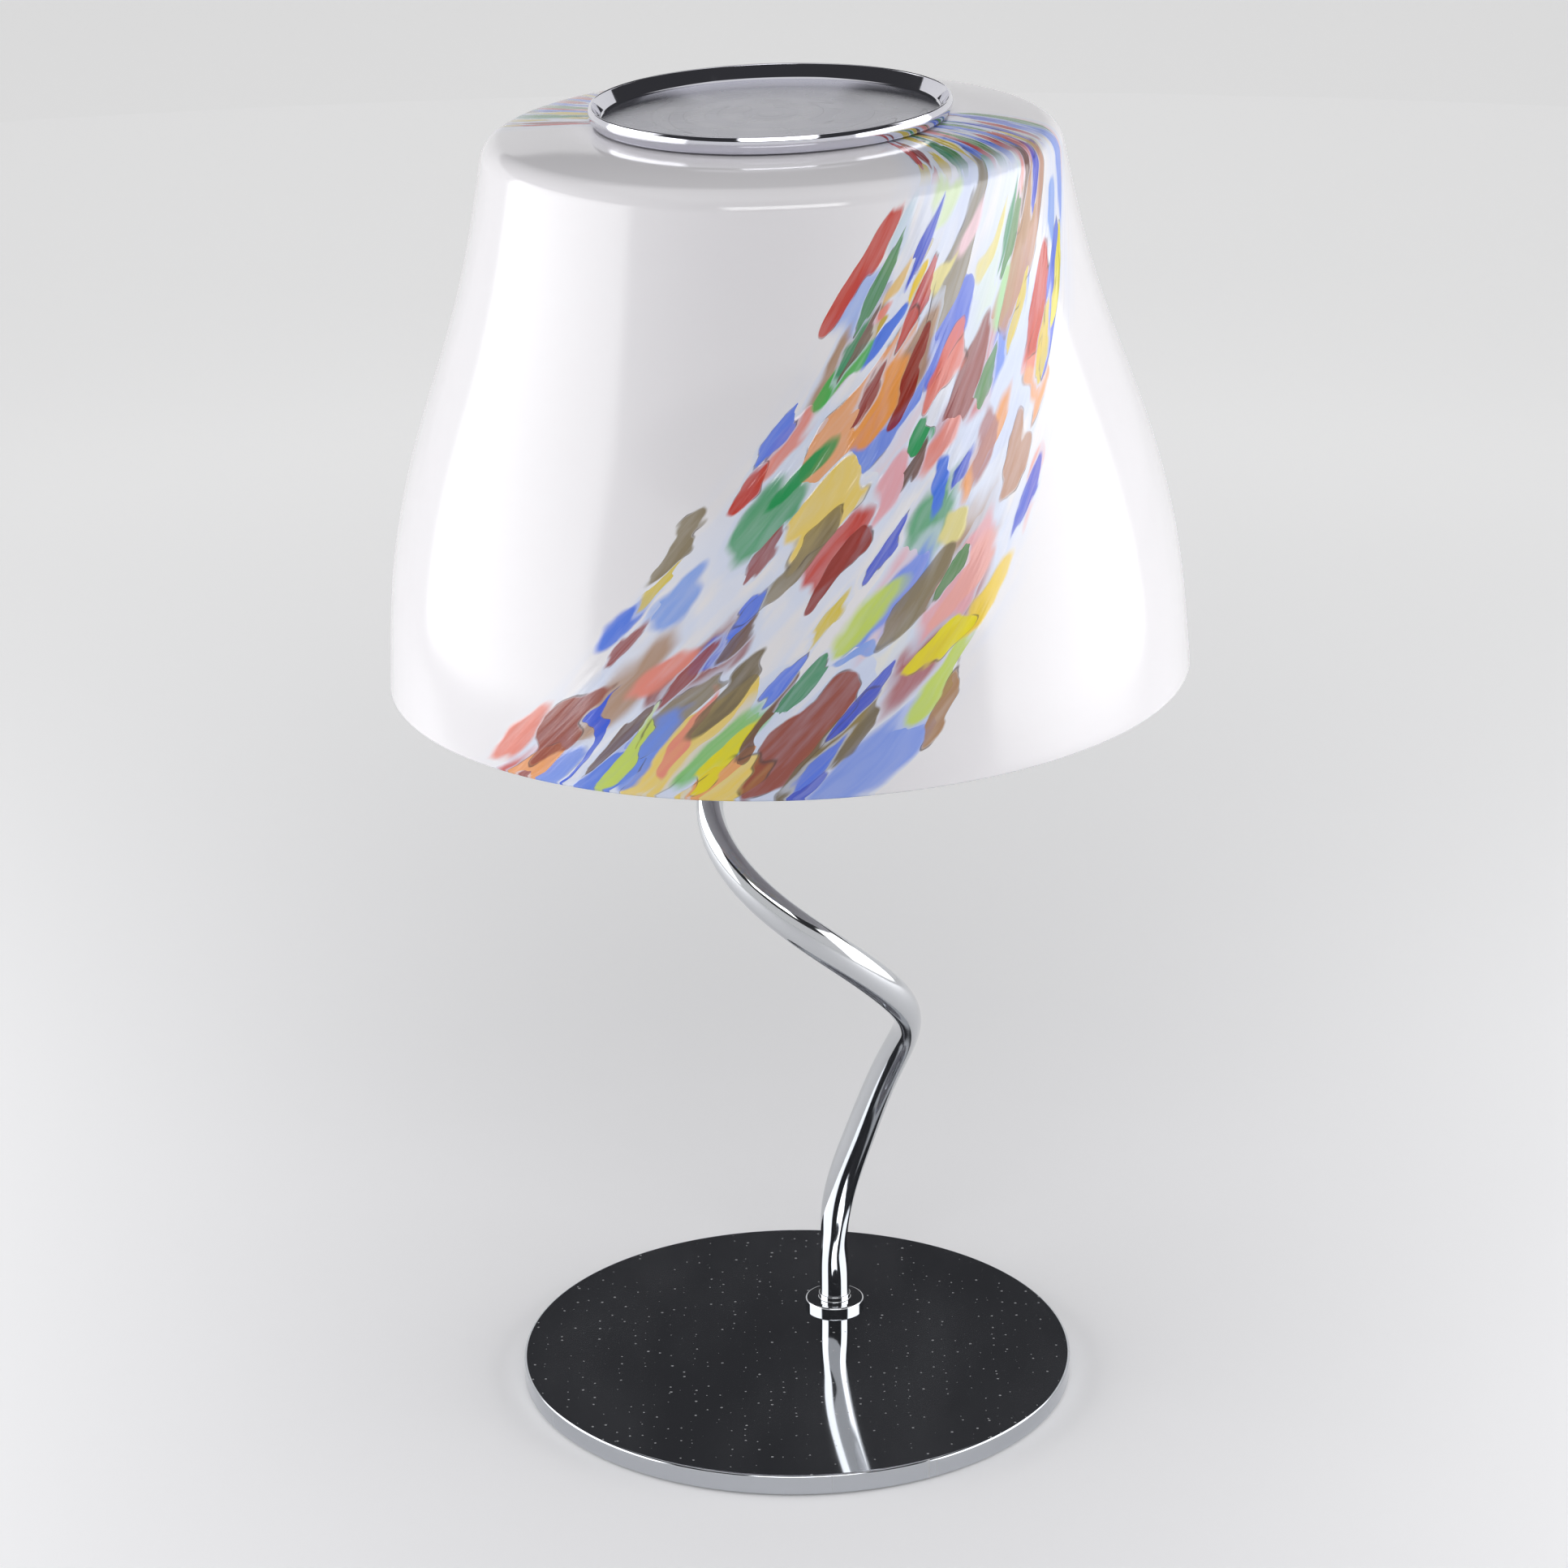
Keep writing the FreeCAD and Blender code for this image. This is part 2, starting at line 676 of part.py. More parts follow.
def centre_contact():
    """The springy strip under the bulb's tip."""
    foot = BLOCK_TOP
    top = BLOCK_TOP + CONTACT_RISE
    points = [
        side(-CONTACT_REACH, foot), side(-CONTACT_REACH / 2, foot), side(CONTACT_W / 2, top - CONTACT_T),
        side(CONTACT_W, top - CONTACT_T), side(CONTACT_W, top), side(-CONTACT_W / 4, top),
        side(-CONTACT_REACH / 2 - CONTACT_T, foot + CONTACT_T), side(-CONTACT_REACH, foot + CONTACT_T),
    ]
    strip = Part.Face(Part.makePolygon(points + points[:1])).extrude(Vector(0, CONTACT_W, 0))
    strip.translate(Vector(0, -CONTACT_W / 2, 0))
    return in_head(strip)


# Bulb

def bulb_tip():
    return in_head(turned([
        (0, TIP_BOTTOM),
        (CAP_TIP_R, TIP_BOTTOM, CAP_TIP_H / 2),
        (CAP_TIP_R, INSULATOR_BOTTOM),
        (0, INSULATOR_BOTTOM),
    ]))


def bulb_insulator():
    return in_head(turned([
        (0, INSULATOR_BOTTOM),
        (CAP_TIP_R + INSULATOR_LAND, INSULATOR_BOTTOM),
        (CAP_R - CAP_THREAD_DEPTH - CAP_WALL, CAP_BOTTOM),
        (0, CAP_BOTTOM),
    ]))


def bulb_cap():
    """The cap's thin shell: rolled threads below a plain collar."""
    root = CAP_R - CAP_THREAD_DEPTH
    inner = root - CAP_WALL
    thread = []
    for i in range(CAP_TURNS):
        thread.append(side(root, CAP_BOTTOM + i * CAP_PITCH))
        thread.append(side(CAP_R, CAP_BOTTOM + (i + 0.5) * CAP_PITCH))
    thread.append(side(root, CAP_BOTTOM + CAP_TURNS * CAP_PITCH))
    wave = Part.BSplineCurve()
    wave.interpolate(thread)
    edges = [
        wave.toShape(),
        Part.makeLine(thread[-1], side(CAP_R, CAP_TOP)),
        Part.makeLine(side(CAP_R, CAP_TOP), side(inner, CAP_TOP)),
        Part.makeLine(side(inner, CAP_TOP), side(inner, CAP_BOTTOM)),
        Part.makeLine(side(inner, CAP_BOTTOM), thread[0]),
    ]
    face = Part.Face(Part.Wire(Part.__sortEdges__(edges)))
    return in_head(face.revolve(ORIGIN, UP, 360))


def bulb_outline(inset):
    """The bulb's outline from its neck to its crown, as edges, with its two ends."""
    globe_r = BULB_R - inset
    centre = BULB_TOP - BULB_R
    neck_r = NECK_R - CAP_WALL - inset
    low = side(neck_r, CAP_TOP - CAP_COLLAR_H)
    mouth = side(neck_r, CAP_TOP)
    waist = side(neck_r + WAIST_FLARE, CAP_TOP + WAIST_H)
    crown = side(0, BULB_TOP - inset)
    angle = math.radians(BELLY_ANGLE)
    belly = side(globe_r * math.cos(angle), centre - globe_r * math.sin(angle))
    upward = side(math.sin(angle), math.cos(angle))
    flank = Part.BezierCurve()
    flank.setPoles([
        waist, waist + (waist - mouth).normalize() * WAIST_PULL, belly - upward * BELLY_PULL, belly,
    ])
    return [
        Part.makeLine(low, mouth),
        Part.makeLine(mouth, waist),
        flank.toShape(),
        Part.Arc(belly, side(globe_r, centre), crown).toShape(),
    ], low, crown


def bulb_glass():
    outer, outer_low, outer_top = bulb_outline(0.0)
    inner, inner_low, inner_top = bulb_outline(BULB_GLASS_T)
    ends = [Part.makeLine(outer_low, inner_low), Part.makeLine(outer_top, inner_top)]
    face = Part.Face(Part.Wire(Part.__sortEdges__(outer + inner + ends)))
    return in_head(face.revolve(ORIGIN, UP, 360))


# Top of the harp

def top_stud():
    low = LOWER_NUT_TOP - NUT_T - THREAD_END
    high = DISH_BOTTOM - THREAD_END
    return in_head(turned([
        (0, low),
        (THREAD_R - THREAD_END, low),
        (THREAD_R, low + THREAD_END),
        (THREAD_R, high - THREAD_END),
        (THREAD_R - THREAD_END, high),
        (0, high),
    ]))


def stud_lower_nut():
    return in_head(hex_nut(LOWER_NUT_TOP - NUT_T))


def stud_washer():
    return in_head(lock_washer(LOWER_NUT_TOP))


def stud_upper_nut():
    return in_head(hex_nut(SEAT_PLATE_TOP))


def seat_plate():
    """The pressed plate under the glass, with a rounded hem."""
    return in_head(turned([
        (THREAD_R + SLIDING_PLAY, HARP_TOP),
        (SEAT_PLATE_R, HARP_TOP, SEAT_PLATE_T / 3),
        (SEAT_PLATE_R, SEAT_PLATE_TOP, SEAT_PLATE_T / 3),
        (THREAD_R + SLIDING_PLAY, SEAT_PLATE_TOP),
    ]))


def seat_ring():
    """The soft ring under the glass, with a lip that centres the glass's hole."""
    lip_r = GLASS_HOLE_R - SLIDING_PLAY
    return in_head(turned([
        (RING_BORE_R, SEAT_PLATE_TOP),
        (RING_R, SEAT_PLATE_TOP, RING_ROUND),
        (RING_R, GLASS_UNDER),
        (lip_r, GLASS_UNDER),
        (lip_r, GLASS_UNDER + RING_LIP_H, RING_LIP_ROUND),
        (lip_r - RING_LIP_T, GLASS_UNDER + RING_LIP_H, RING_LIP_ROUND),
        (lip_r - RING_LIP_T, GLASS_UNDER),
        (RING_BORE_R, GLASS_UNDER),
    ]))


# Shade

def crown_height(radius):
    """The height of the shade's top at a radius: flat in the middle, then falling as an arc."""
    span = SHOULDER_R - SEAT_R
    bend_r = (span ** 2 + CROWN_RISE ** 2) / (2 * CROWN_RISE)
    if radius <= SEAT_R:
        return SHADE_H
    return SHADE_H - bend_r + math.sqrt(bend_r ** 2 - (radius - SEAT_R) ** 2)


def shade_side(inset):
    """The shade's edges from the rim to the seat, set inwards, with their two ends."""
    corner = side(SHOULDER_R - inset, crown_height(SHOULDER_R) - inset)
    wall = [side(radius - inset, height) for height, radius in SHADE_STATIONS]
    slope = (wall[1] - wall[0]).normalize()
    rim_middle = side(SHADE_STATIONS[0][1] - GLASS_T / 2, SHADE_STATIONS[0][0])
    rim_end, rim_bulge, wall[0] = corner_arc(rim_middle, wall[0], wall[1], RIM_ROUND)
    upward = (corner - wall[-1]).normalize()
    shoulder_low = corner - upward * SHOULDER_RUN
    crown_r = SHOULDER_R - SHOULDER_RUN
    shoulder_high = side(crown_r - inset, crown_height(crown_r) - inset)
    flat = side(SEAT_R - inset, SHADE_H - inset)
    middle_r = (SEAT_R + crown_r) / 2
    middle = side(middle_r - inset, crown_height(middle_r) - inset)
    wall_curve = Part.BSplineCurve()
    wall_curve.interpolate(Points=wall + [shoulder_low], InitialTangent=slope, FinalTangent=upward)
    crown = Part.Arc(shoulder_high, middle, flat)
    outward = (crown.value(crown.FirstParameter) - crown.value(crown.FirstParameter + 0.001)).normalize()
    pull = SHOULDER_PULL * SHOULDER_RUN
    shoulder = Part.BezierCurve()
    shoulder.setPoles([
        shoulder_low, shoulder_low + upward * pull, shoulder_high + outward * pull, shoulder_high,
    ])
    edges = [Part.Arc(rim_end, rim_bulge, wall[0]), wall_curve, shoulder, crown]
    return [edge.toShape() for edge in edges], rim_end, flat


def glass_shade():
    outer, outer_rim, outer_seat = shade_side(0.0)
    inner, inner_rim, inner_seat = shade_side(GLASS_T)
    edges = outer + inner + [
        Part.makeLine(outer_rim, inner_rim),
        Part.makeLine(outer_seat, side(GLASS_HOLE_R, SHADE_H)),
        Part.makeLine(side(GLASS_HOLE_R, SHADE_H), side(GLASS_HOLE_R, GLASS_UNDER)),
        Part.makeLine(side(GLASS_HOLE_R, GLASS_UNDER), inner_seat),
    ]
    glass = Part.Face(Part.Wire(Part.__sortEdges__(edges))).revolve(ORIGIN, UP, 360)
    return in_head(glass)


# Dish

def felt_ring():
    return in_head(tube_between(FELT_R, GLASS_HOLE_R + FELT_INSET, SHADE_H, DISH_BOTTOM))


def dish():
    """A spun pan: a faintly hollow floor, a splayed inner wall and a barrel-shaped outer wall."""
    lip_round = DISH_LIP_T / 2
    shoulder = DISH_BOTTOM + DISH_H - lip_round
    lip_out = DISH_R - DISH_LIP_INSET
    lip_in = lip_out - DISH_LIP_T
    floor_r = lip_in - DISH_WALL_RUN
    floor_edge = side(floor_r, DISH_FLOOR + DISH_HOLLOW)
    floor_centre = side(0, DISH_FLOOR)
    hollow_r = (floor_r ** 2 + DISH_HOLLOW ** 2) / (2 * DISH_HOLLOW)
    half_r = floor_r / 2
    floor_middle = side(half_r, DISH_FLOOR + hollow_r - math.sqrt(hollow_r ** 2 - half_r ** 2))
    inner_wall = Part.BezierCurve()
    inner_wall.setPoles([
        floor_edge,
        side(lip_in, DISH_FLOOR + DISH_HOLLOW),
        side(lip_in, DISH_FLOOR + DISH_WALL_RISE),
        side(lip_in, shoulder),
    ])
    lip_start = side(lip_in, shoulder)
    lip_end = side(lip_out, shoulder)
    foot_edge = side(DISH_R - DISH_FOOT_INSET, DISH_BOTTOM)
    edges = [
        Part.Arc(floor_centre, floor_middle, floor_edge).toShape(),
        inner_wall.toShape(),
        Part.Arc(lip_start, side(lip_in + lip_round, shoulder + lip_round), lip_end).toShape(),
        Part.Arc(lip_end, side(DISH_R, DISH_BOTTOM + DISH_H / 2), foot_edge).toShape(),
        Part.makeLine(foot_edge, side(0, DISH_BOTTOM)),
        Part.makeLine(side(0, DISH_BOTTOM), floor_centre),
    ]
    face = Part.Face(Part.Wire(Part.__sortEdges__(edges)))
    return in_head(face.revolve(ORIGIN, UP, 360))


def dish_boss():
    """The threaded boss welded under the dish."""
    low = UPPER_NUT_TOP + BOSS_GAP
    boss = turned([
        (THREAD_R + FIT, low),
        (BOSS_R, low, BOSS_ROUND),
        (BOSS_R, DISH_BOTTOM),
        (THREAD_R + FIT, DISH_BOTTOM),
    ])
    return in_head(boss)


PIECES = [
    base_plate, base_pad, cable_bush, foot_nipple, foot_washer, foot_nut, foot_collar,
    stem_tube, head_nipple, harp_saddle, saddle_washer, harp_arch, harp_rivets,
    lampholder_cap, lampholder_shell, lampholder_block, terminal_screws, screw_sleeve, centre_contact,
    bulb_tip, bulb_insulator, bulb_cap, bulb_glass,
    top_stud, stud_lower_nut, stud_washer, stud_upper_nut, seat_plate, seat_ring,
    glass_shade, felt_ring, dish, dish_boss,
]


def main():
    os.makedirs("parts", exist_ok=True)
    for make in PIECES:
        shape = make()
        name = make.__name__
        solids = shape.Solids
        if not shape.isValid() or not solids:
            raise RuntimeError(name + " is not a valid solid")
        if len(solids) == 1:
            shape = solids[0]
        shape.exportStep("parts/" + name + ".step")
        print(name, len(solids), "solid(s)", round(sum(s.Volume for s in solids), 1), "mm3")


main()
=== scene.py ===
import json
import math

import bmesh
import bpy
import numpy as np
from bpy.props import FloatProperty, IntProperty, PointerProperty, StringProperty
from mathutils import Matrix, Vector
from mathutils.geometry import interpolate_bezier

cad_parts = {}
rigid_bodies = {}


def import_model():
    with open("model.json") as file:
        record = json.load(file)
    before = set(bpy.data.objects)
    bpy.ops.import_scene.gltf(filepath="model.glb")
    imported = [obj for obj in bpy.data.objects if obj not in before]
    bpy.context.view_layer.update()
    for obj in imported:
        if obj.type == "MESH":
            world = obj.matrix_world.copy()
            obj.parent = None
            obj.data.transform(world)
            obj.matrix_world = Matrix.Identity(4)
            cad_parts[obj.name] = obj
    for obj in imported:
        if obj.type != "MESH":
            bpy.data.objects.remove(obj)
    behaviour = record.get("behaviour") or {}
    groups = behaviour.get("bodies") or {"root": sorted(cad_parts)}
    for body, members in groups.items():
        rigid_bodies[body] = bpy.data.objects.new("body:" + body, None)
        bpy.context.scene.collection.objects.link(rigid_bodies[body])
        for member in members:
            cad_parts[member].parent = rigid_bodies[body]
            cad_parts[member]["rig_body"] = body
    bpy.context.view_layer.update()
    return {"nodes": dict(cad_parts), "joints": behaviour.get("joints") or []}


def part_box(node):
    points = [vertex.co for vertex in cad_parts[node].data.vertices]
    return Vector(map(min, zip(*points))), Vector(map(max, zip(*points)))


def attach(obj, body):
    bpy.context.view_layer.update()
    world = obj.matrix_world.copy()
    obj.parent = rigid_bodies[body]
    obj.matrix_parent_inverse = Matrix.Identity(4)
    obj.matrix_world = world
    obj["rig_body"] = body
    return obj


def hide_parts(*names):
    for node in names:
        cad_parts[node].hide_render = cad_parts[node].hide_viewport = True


# Table lamp: an opal glass shade with a band of colour chips, a shallow dish on top of it, and a looped
# chromed tube that rises from a round mirror-finished foot.
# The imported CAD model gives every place. What a viewer sees close up is modelled again here, finer.

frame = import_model()

bl_info = {
    "name": "Banded Glass Table Lamp",
    "version": (1, 0, 0),
    "blender": (4, 5, 0),
    "location": "View3D > Sidebar > Lamp",
    "description": "Models and finishes a table lamp with a glass shade, a dish and a looped stem",
    "category": "Add Mesh",
}

MM = 0.001
UP = Vector((0.0, 0.0, 1.0))
FULL_TURN = 2 * math.pi
# An edge sharper than this stays an edge, and all others shade smoothly
SHARP_ANGLE = math.radians(35.0)
# Steps of the spin that makes a round piece
PLATE_STEPS = 256
COLLAR_STEPS = 96
DISH_STEPS = 288
FLOOR_STEPS = 96

# The head's own frame, from the joint that the shade turns on: zero is the middle of the shade's rim
TURN = next(joint for joint in frame["joints"] if joint["name"] == "shade_turn")
HEAD_AXIS = Vector(TURN["axis"]).normalized()
HEAD_PLACE = Vector(TURN["pos_m"])
HEAD = Matrix.Translation(HEAD_PLACE) @ UP.rotation_difference(HEAD_AXIS).to_matrix().to_4x4()


def node_radius(node):
    """Half the width of a node across X, in metres."""
    low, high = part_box(node)
    return (high.x - low.x) / 2


def node_top(node):
    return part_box(node)[1].z


def node_bottom(node):
    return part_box(node)[0].z


def metres(name, description, default):
    """A length that a user may change."""
    return FloatProperty(name=name, description=description, default=default, min=0.0, precision=5,
                         subtype="DISTANCE", unit="LENGTH")


def hue(name, description, default):
    """A colour that a user may change, as an sRGB hex value."""
    return StringProperty(name=name, description=description, default=default, maxlen=7)


# Sizes and colours that a user may change

class LampFootSizes(bpy.types.PropertyGroup):
    plate_radius: metres("Plate radius", "Radius of the foot plate", node_radius("base_plate"))
    top_round: metres("Top rounding", "Rounding of the plate's upper edge", 1.2 * MM)
    bottom_round: metres("Bottom rounding", "Rounding of the plate's lower edge", 0.6 * MM)
    channel_width: metres("Channel width", "Width of the cord's channel under the plate", 9.0 * MM)
    channel_height: metres("Channel height", "Height of the cord's channel under the plate", 5.6 * MM)
    collar_radius: metres("Collar radius", "Radius of the collar round the stem", node_radius("foot_collar"))
    collar_height: metres("Collar height", "Height of the collar's ring above the plate", 2.9 * MM)
    collar_round: metres("Collar rounding", "Rounding of the collar's upper edge", 0.7 * MM)
    lip_wall: metres("Lip wall", "Thickness of the collar's lip round the tube", 0.45 * MM)
    lip_round: metres("Lip rounding", "Rounding of the lip's edge and root", 0.3 * MM)


class LampStemSizes(bpy.types.PropertyGroup):
    tube_radius: metres("Tube radius", "Outer radius of the tube at its round ends", 6.0 * MM)
    wall: metres("Tube wall", "Thickness of the tube's wall", 1.5 * MM)
    wide_radius: metres("Wide half axis", "Upright half axis of the bent, slightly oval stretch", 6.7 * MM)
    narrow_radius: metres("Narrow half axis", "Level half axis of the bent, slightly oval stretch", 5.25 * MM)
    end_straight: metres("Straight ends", "Length of the straight run at each end", 12.0 * MM)
    ring_gap: metres("Ring spacing", "Distance between two rings of the tube's mesh", 2.2 * MM)
    ring_sides: IntProperty(name="Sides", description="Vertices in a ring of the tube", default=48, min=8)


class LampShadeSizes(bpy.types.PropertyGroup):
    wall: metres("Glass thickness", "Thickness of the shade's wall", 4.0 * MM)
    height: metres("Height", "Height of the shade's flat top above its rim", 213.0 * MM)
    shoulder_radius: metres("Shoulder radius", "Radius at which wall and top would meet", 106.8 * MM)
    shoulder_run: metres("Shoulder run", "How far the rounded shoulder runs down and in", 6.5 * MM)
    crown_rise: metres("Crown rise", "How much the top falls from its seat to the shoulder", 4.4 * MM)
    seat_radius: metres("Seat radius", "Radius of the flat seat under the dish", 60.0 * MM)
    hole_radius: metres("Hole radius", "Radius of the hole in the top", 21.0 * MM)
    rim_round: metres("Rim rounding", "Rounding of the fire-polished rim", 1.2 * MM)
    steps: IntProperty(name="Steps", description="Steps of the spin round the axis", default=288, min=24)
    band_half_angle: FloatProperty(name="Band half width", description="Half the width of the colour band",
                                   default=math.radians(27.0), subtype="ANGLE", unit="ROTATION")


class LampDishSizes(bpy.types.PropertyGroup):
    radius: metres("Dish radius", "Largest radius of the outer wall", 67.5 * MM)
    height: metres("Dish height", "Height from the foot to the lip", 6.4 * MM)
    floor_thickness: metres("Floor thickness", "Thickness of the floor at its middle", 0.8 * MM)
    lip: metres("Lip thickness", "Thickness of the rolled lip", 1.0 * MM)
    foot_inset: metres("Foot inset", "How far the outer wall draws in at the foot", 1.7 * MM)
    lip_inset: metres("Lip inset", "How far the outer wall draws in at the lip", 0.5 * MM)
    wall_run: metres("Wall run", "How far the inner wall splays", 2.8 * MM)
    wall_bend: metres("Wall bend", "Reach of the bend between floor and wall", 0.8 * MM)
    hollow: metres("Floor hollow", "How much lower the floor's middle lies", 0.1 * MM)


class LampColours(bpy.types.PropertyGroup):
    chrome: hue("Chrome", "Chromium plate on the stem and collar", "#CDCFD2")
    mirror: hue("Mirror", "Chromium plate on the foot", "#C3C6CB")
    dish: hue("Dish", "Spun and plated dish", "#D6D6E0")
    opal: hue("Opal glass", "White glass of the shade", "#F1EFF2")
    steel: hue("Steel", "Zinc-plated hardware", "#B9BDC0")
    brass: hue("Brass", "Contacts and sleeve", "#D5B470")


class LampStageSettings(bpy.types.PropertyGroup):
    floor: hue("Floor", "Colour of the floor", "#E3E3E5")
    floor_radius: metres("Floor radius", "Radius of the flat floor", 4.2)
    floor_cove: metres("Cove", "Rounding where the floor turns up", 0.6)
    floor_edge: metres("Edge height", "Height of the floor's turned-up edge", 1.8)


def sizes(group):
    """One of the lamp's groups of settings, in the scene."""
    return getattr(bpy.context.scene, group)


# Colour and shading helpers

def linear(code):
    """A linear colour from an sRGB hex value."""
    channels = []
    for i in (1, 3, 5):
        value = int(code[i:i + 2], 16) / 255
        if value <= 0.04045:
            channels.append(value / 12.92)
        else:
            channels.append(((value + 0.055) / 1.055) ** 2.4)
    return (*channels, 1.0)


def feed(tree, node, inputs):
    """Sets inputs by name or place: to a value, a colour's code, a socket, or another node's first output."""
    for key, value in inputs.items():
        if isinstance(value, bpy.types.Node):
            value = next(socket for socket in value.outputs if socket.enabled)
        if isinstance(value, bpy.types.NodeSocket):
            tree.links.new(value, node.inputs[key])
        else:
            node.inputs[key].default_value = linear(value) if isinstance(value, str) else value


# The setting that says what a node of each kind does
MAIN_SETTINGS = {
    "Math": "operation",
    "VectorMath": "operation",
    "MapRange": "interpolation_type",
    "Mix": "data_type",
    "TexNoise": "noise_dimensions",
    "TexVoronoi": "voronoi_dimensions",
}


def add(tree, kind, *inputs, **settings):
    """Adds a shader node. Its kind may end with its main setting, as in "Math ADD".

    Its inputs are given in order, or as one dictionary."""
    kind, _, main = kind.partition(" ")
    node = tree.nodes.new("ShaderNode" + kind)
    if main:
        setattr(node, MAIN_SETTINGS[kind], main)
    for name, value in settings.items():
        setattr(node, name, value)
    by_name = inputs and isinstance(inputs[0], dict)
    feed(tree, node, inputs[0] if by_name else dict(enumerate(inputs)))
    return node


def new_material(name, values):
    """A material with one Principled shader, whose constant values sit on its own sockets."""
    material = bpy.data.materials.new(name)
    material.use_nodes = True
    tree = material.node_tree
    tree.nodes.clear()
    shader = add(tree, "BsdfPrincipled", values)
    add(tree, "OutputMaterial", {"Surface": shader})
    return material, tree, shader


def in_space(tree, centre=(0.0, 0.0, 0.0), stretch=(1.0, 1.0, 1.0)):
    """Object coordinates, measured from a centre and stretched along the axes."""
    place = add(tree, "TexCoord").outputs["Object"]
    moved = add(tree, "VectorMath SUBTRACT", place, centre)
    return add(tree, "VectorMath MULTIPLY", moved, stretch)


def patches(tree, coords, grain, low, high, detail=3.0):
    """Soft noise of a grain size in metres, as a value between low and high."""
    noise = add(tree, "TexNoise", {"Vector": coords, "Scale": 1 / grain, "Detail": detail})
    return add(tree, "MapRange", noise, 0.3, 0.7, low, high)


def streaks(tree, coords, across, along, detail):
    """Flat soft noise, whose grains have one size across the band and another along it."""
    place = add(tree, "VectorMath MULTIPLY", coords, (1 / across, 1 / along, 1.0))
    return add(tree, "TexNoise 2D", {"Vector": place, "Scale": 1.0, "Detail": detail})


def relief(tree, shader, height, depth):
    """Bumps the surface by a height value, whose full swing is a depth in metres."""
    bump = add(tree, "Bump", {"Strength": 1.0, "Distance": depth, "Height": height})
    feed(tree, shader, {"Normal": bump})


# Modelling helpers

def outline(corners, closed, segments=6):
    """A wire in the XZ plane through corners of (radius, height) or (radius, height, rounding reach)."""
    bm = bmesh.new()
    verts = [bm.verts.new((corner[0], 0.0, corner[1])) for corner in corners]
    for first, second in zip(verts, verts[1:]):
        bm.edges.new((first, second))
    if closed:
        bm.edges.new((verts[-1], verts[0]))
    for vert, corner in zip(verts, corners):
        if len(corner) > 2:
            bmesh.ops.bevel(bm, geom=[vert], offset=corner[2], offset_type="OFFSET", segments=segments,
                            profile=0.5, affect="VERTICES", material=-1)
    return bm


def spin(bm, steps):
    """Spins a wire into a closed body round the Z axis."""
    bmesh.ops.spin(bm, geom=bm.verts[:] + bm.edges[:], cent=(0, 0, 0), axis=(0, 0, 1), angle=FULL_TURN,
                   steps=steps, use_merge=True)
    bmesh.ops.remove_doubles(bm, verts=bm.verts, dist=0.5e-6)
    bmesh.ops.recalc_face_normals(bm, faces=bm.faces)


def even_normals(piece):
    """Keeps flat faces flat beside rounded edges."""
    normals = piece.modifiers.new("even_normals", "WEIGHTED_NORMAL")
    normals.keep_sharp = True


def add_piece(name, bm, material, body, nodes, even=True):
    """Turns a bmesh into a smooth piece that rides on a body, and hides the CAD nodes that it stands for."""
    mesh = bpy.data.meshes.new(name)
    bm.to_mesh(mesh)
    bm.free()
    mesh.shade_smooth()
    mesh.set_sharp_from_angle(angle=SHARP_ANGLE)
    piece = bpy.data.objects.new(name, mesh)
    bpy.context.scene.collection.objects.link(piece)
    mesh.materials.append(material)
    if even:
        even_normals(piece)
    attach(piece, body)
    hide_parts(*nodes)
    return piece


def smooth_copy(node, material):
    """A merged copy of a CAD node that shades smoothly."""
    source = frame["nodes"][node]
    bm = bmesh.new()
    bm.from_mesh(source.data)
    bmesh.ops.remove_doubles(bm, verts=bm.verts, dist=1e-6)
    bmesh.ops.dissolve_degenerate(bm, edges=bm.edges, dist=1e-7)
    return add_piece(node + "_smooth", bm, material, source["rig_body"], [node])


def spline(knots, gap):
    """Points about a gap apart on a smooth curve through knots, with the run at each point.

    A knot is a vector. The curve is a cubic spline over the chord lengths with free ends."""
    count = len(knots)
    chords = [(b - a).length for a, b in zip(knots, knots[1:])]
    system = np.zeros((count, count))
    pull = np.zeros((count, len(knots[0])))
    system[0, :2] = (2.0, 1.0)
    system[-1, -2:] = (1.0, 2.0)
    pull[0] = (knots[1] - knots[0]) * (3 / chords[0])
    pull[-1] = (knots[-1] - knots[-2]) * (3 / chords[-1])
    for i in range(1, count - 1):
        before, after = chords[i - 1], chords[i]
        system[i, i - 1:i + 2] = (1 / before, 2 / before + 2 / after, 1 / after)
        pull[i] = 3 * ((knots[i] - knots[i - 1]) / before ** 2 + (knots[i + 1] - knots[i]) / after ** 2)
    slopes = [Vector(slope) for slope in np.linalg.solve(system, pull)]
    points = [knots[0]]
    for i in range(count - 1):
        third = chords[i] / 3
        steps = max(2, round(chords[i] / gap))
        points += interpolate_bezier(knots[i], knots[i] + slopes[i] * third,
                                     knots[i + 1] - slopes[i + 1] * third, knots[i + 1], steps + 1)[1:]
    runs = [0.0]
    for a, b in zip(points, points[1:]):
        runs.append(runs[-1] + (b - a).length)
    return points, runs


# Metals

# Height of the dish's floor above the shade's rim, and the radii between which its satin ends
DISH_FLOOR_HEIGHT = 214.7
SATIN_EDGE = (63.0, 61.5)


def worked_metal(name, code, rough, skin, depth, detail=3.0):
    """A metal of one colour. Rough gives grain, low and high; the skin's grain is raised by a depth."""
    material, tree, shader = new_material(name, {"Base Color": code, "Metallic": 1.0})
    coords = in_space(tree)
    feed(tree, shader, {"Roughness": patches(tree, coords, *rough)})
    relief(tree, shader, patches(tree, coords, skin, 0.0, 1.0, detail=detail), depth)
    return material


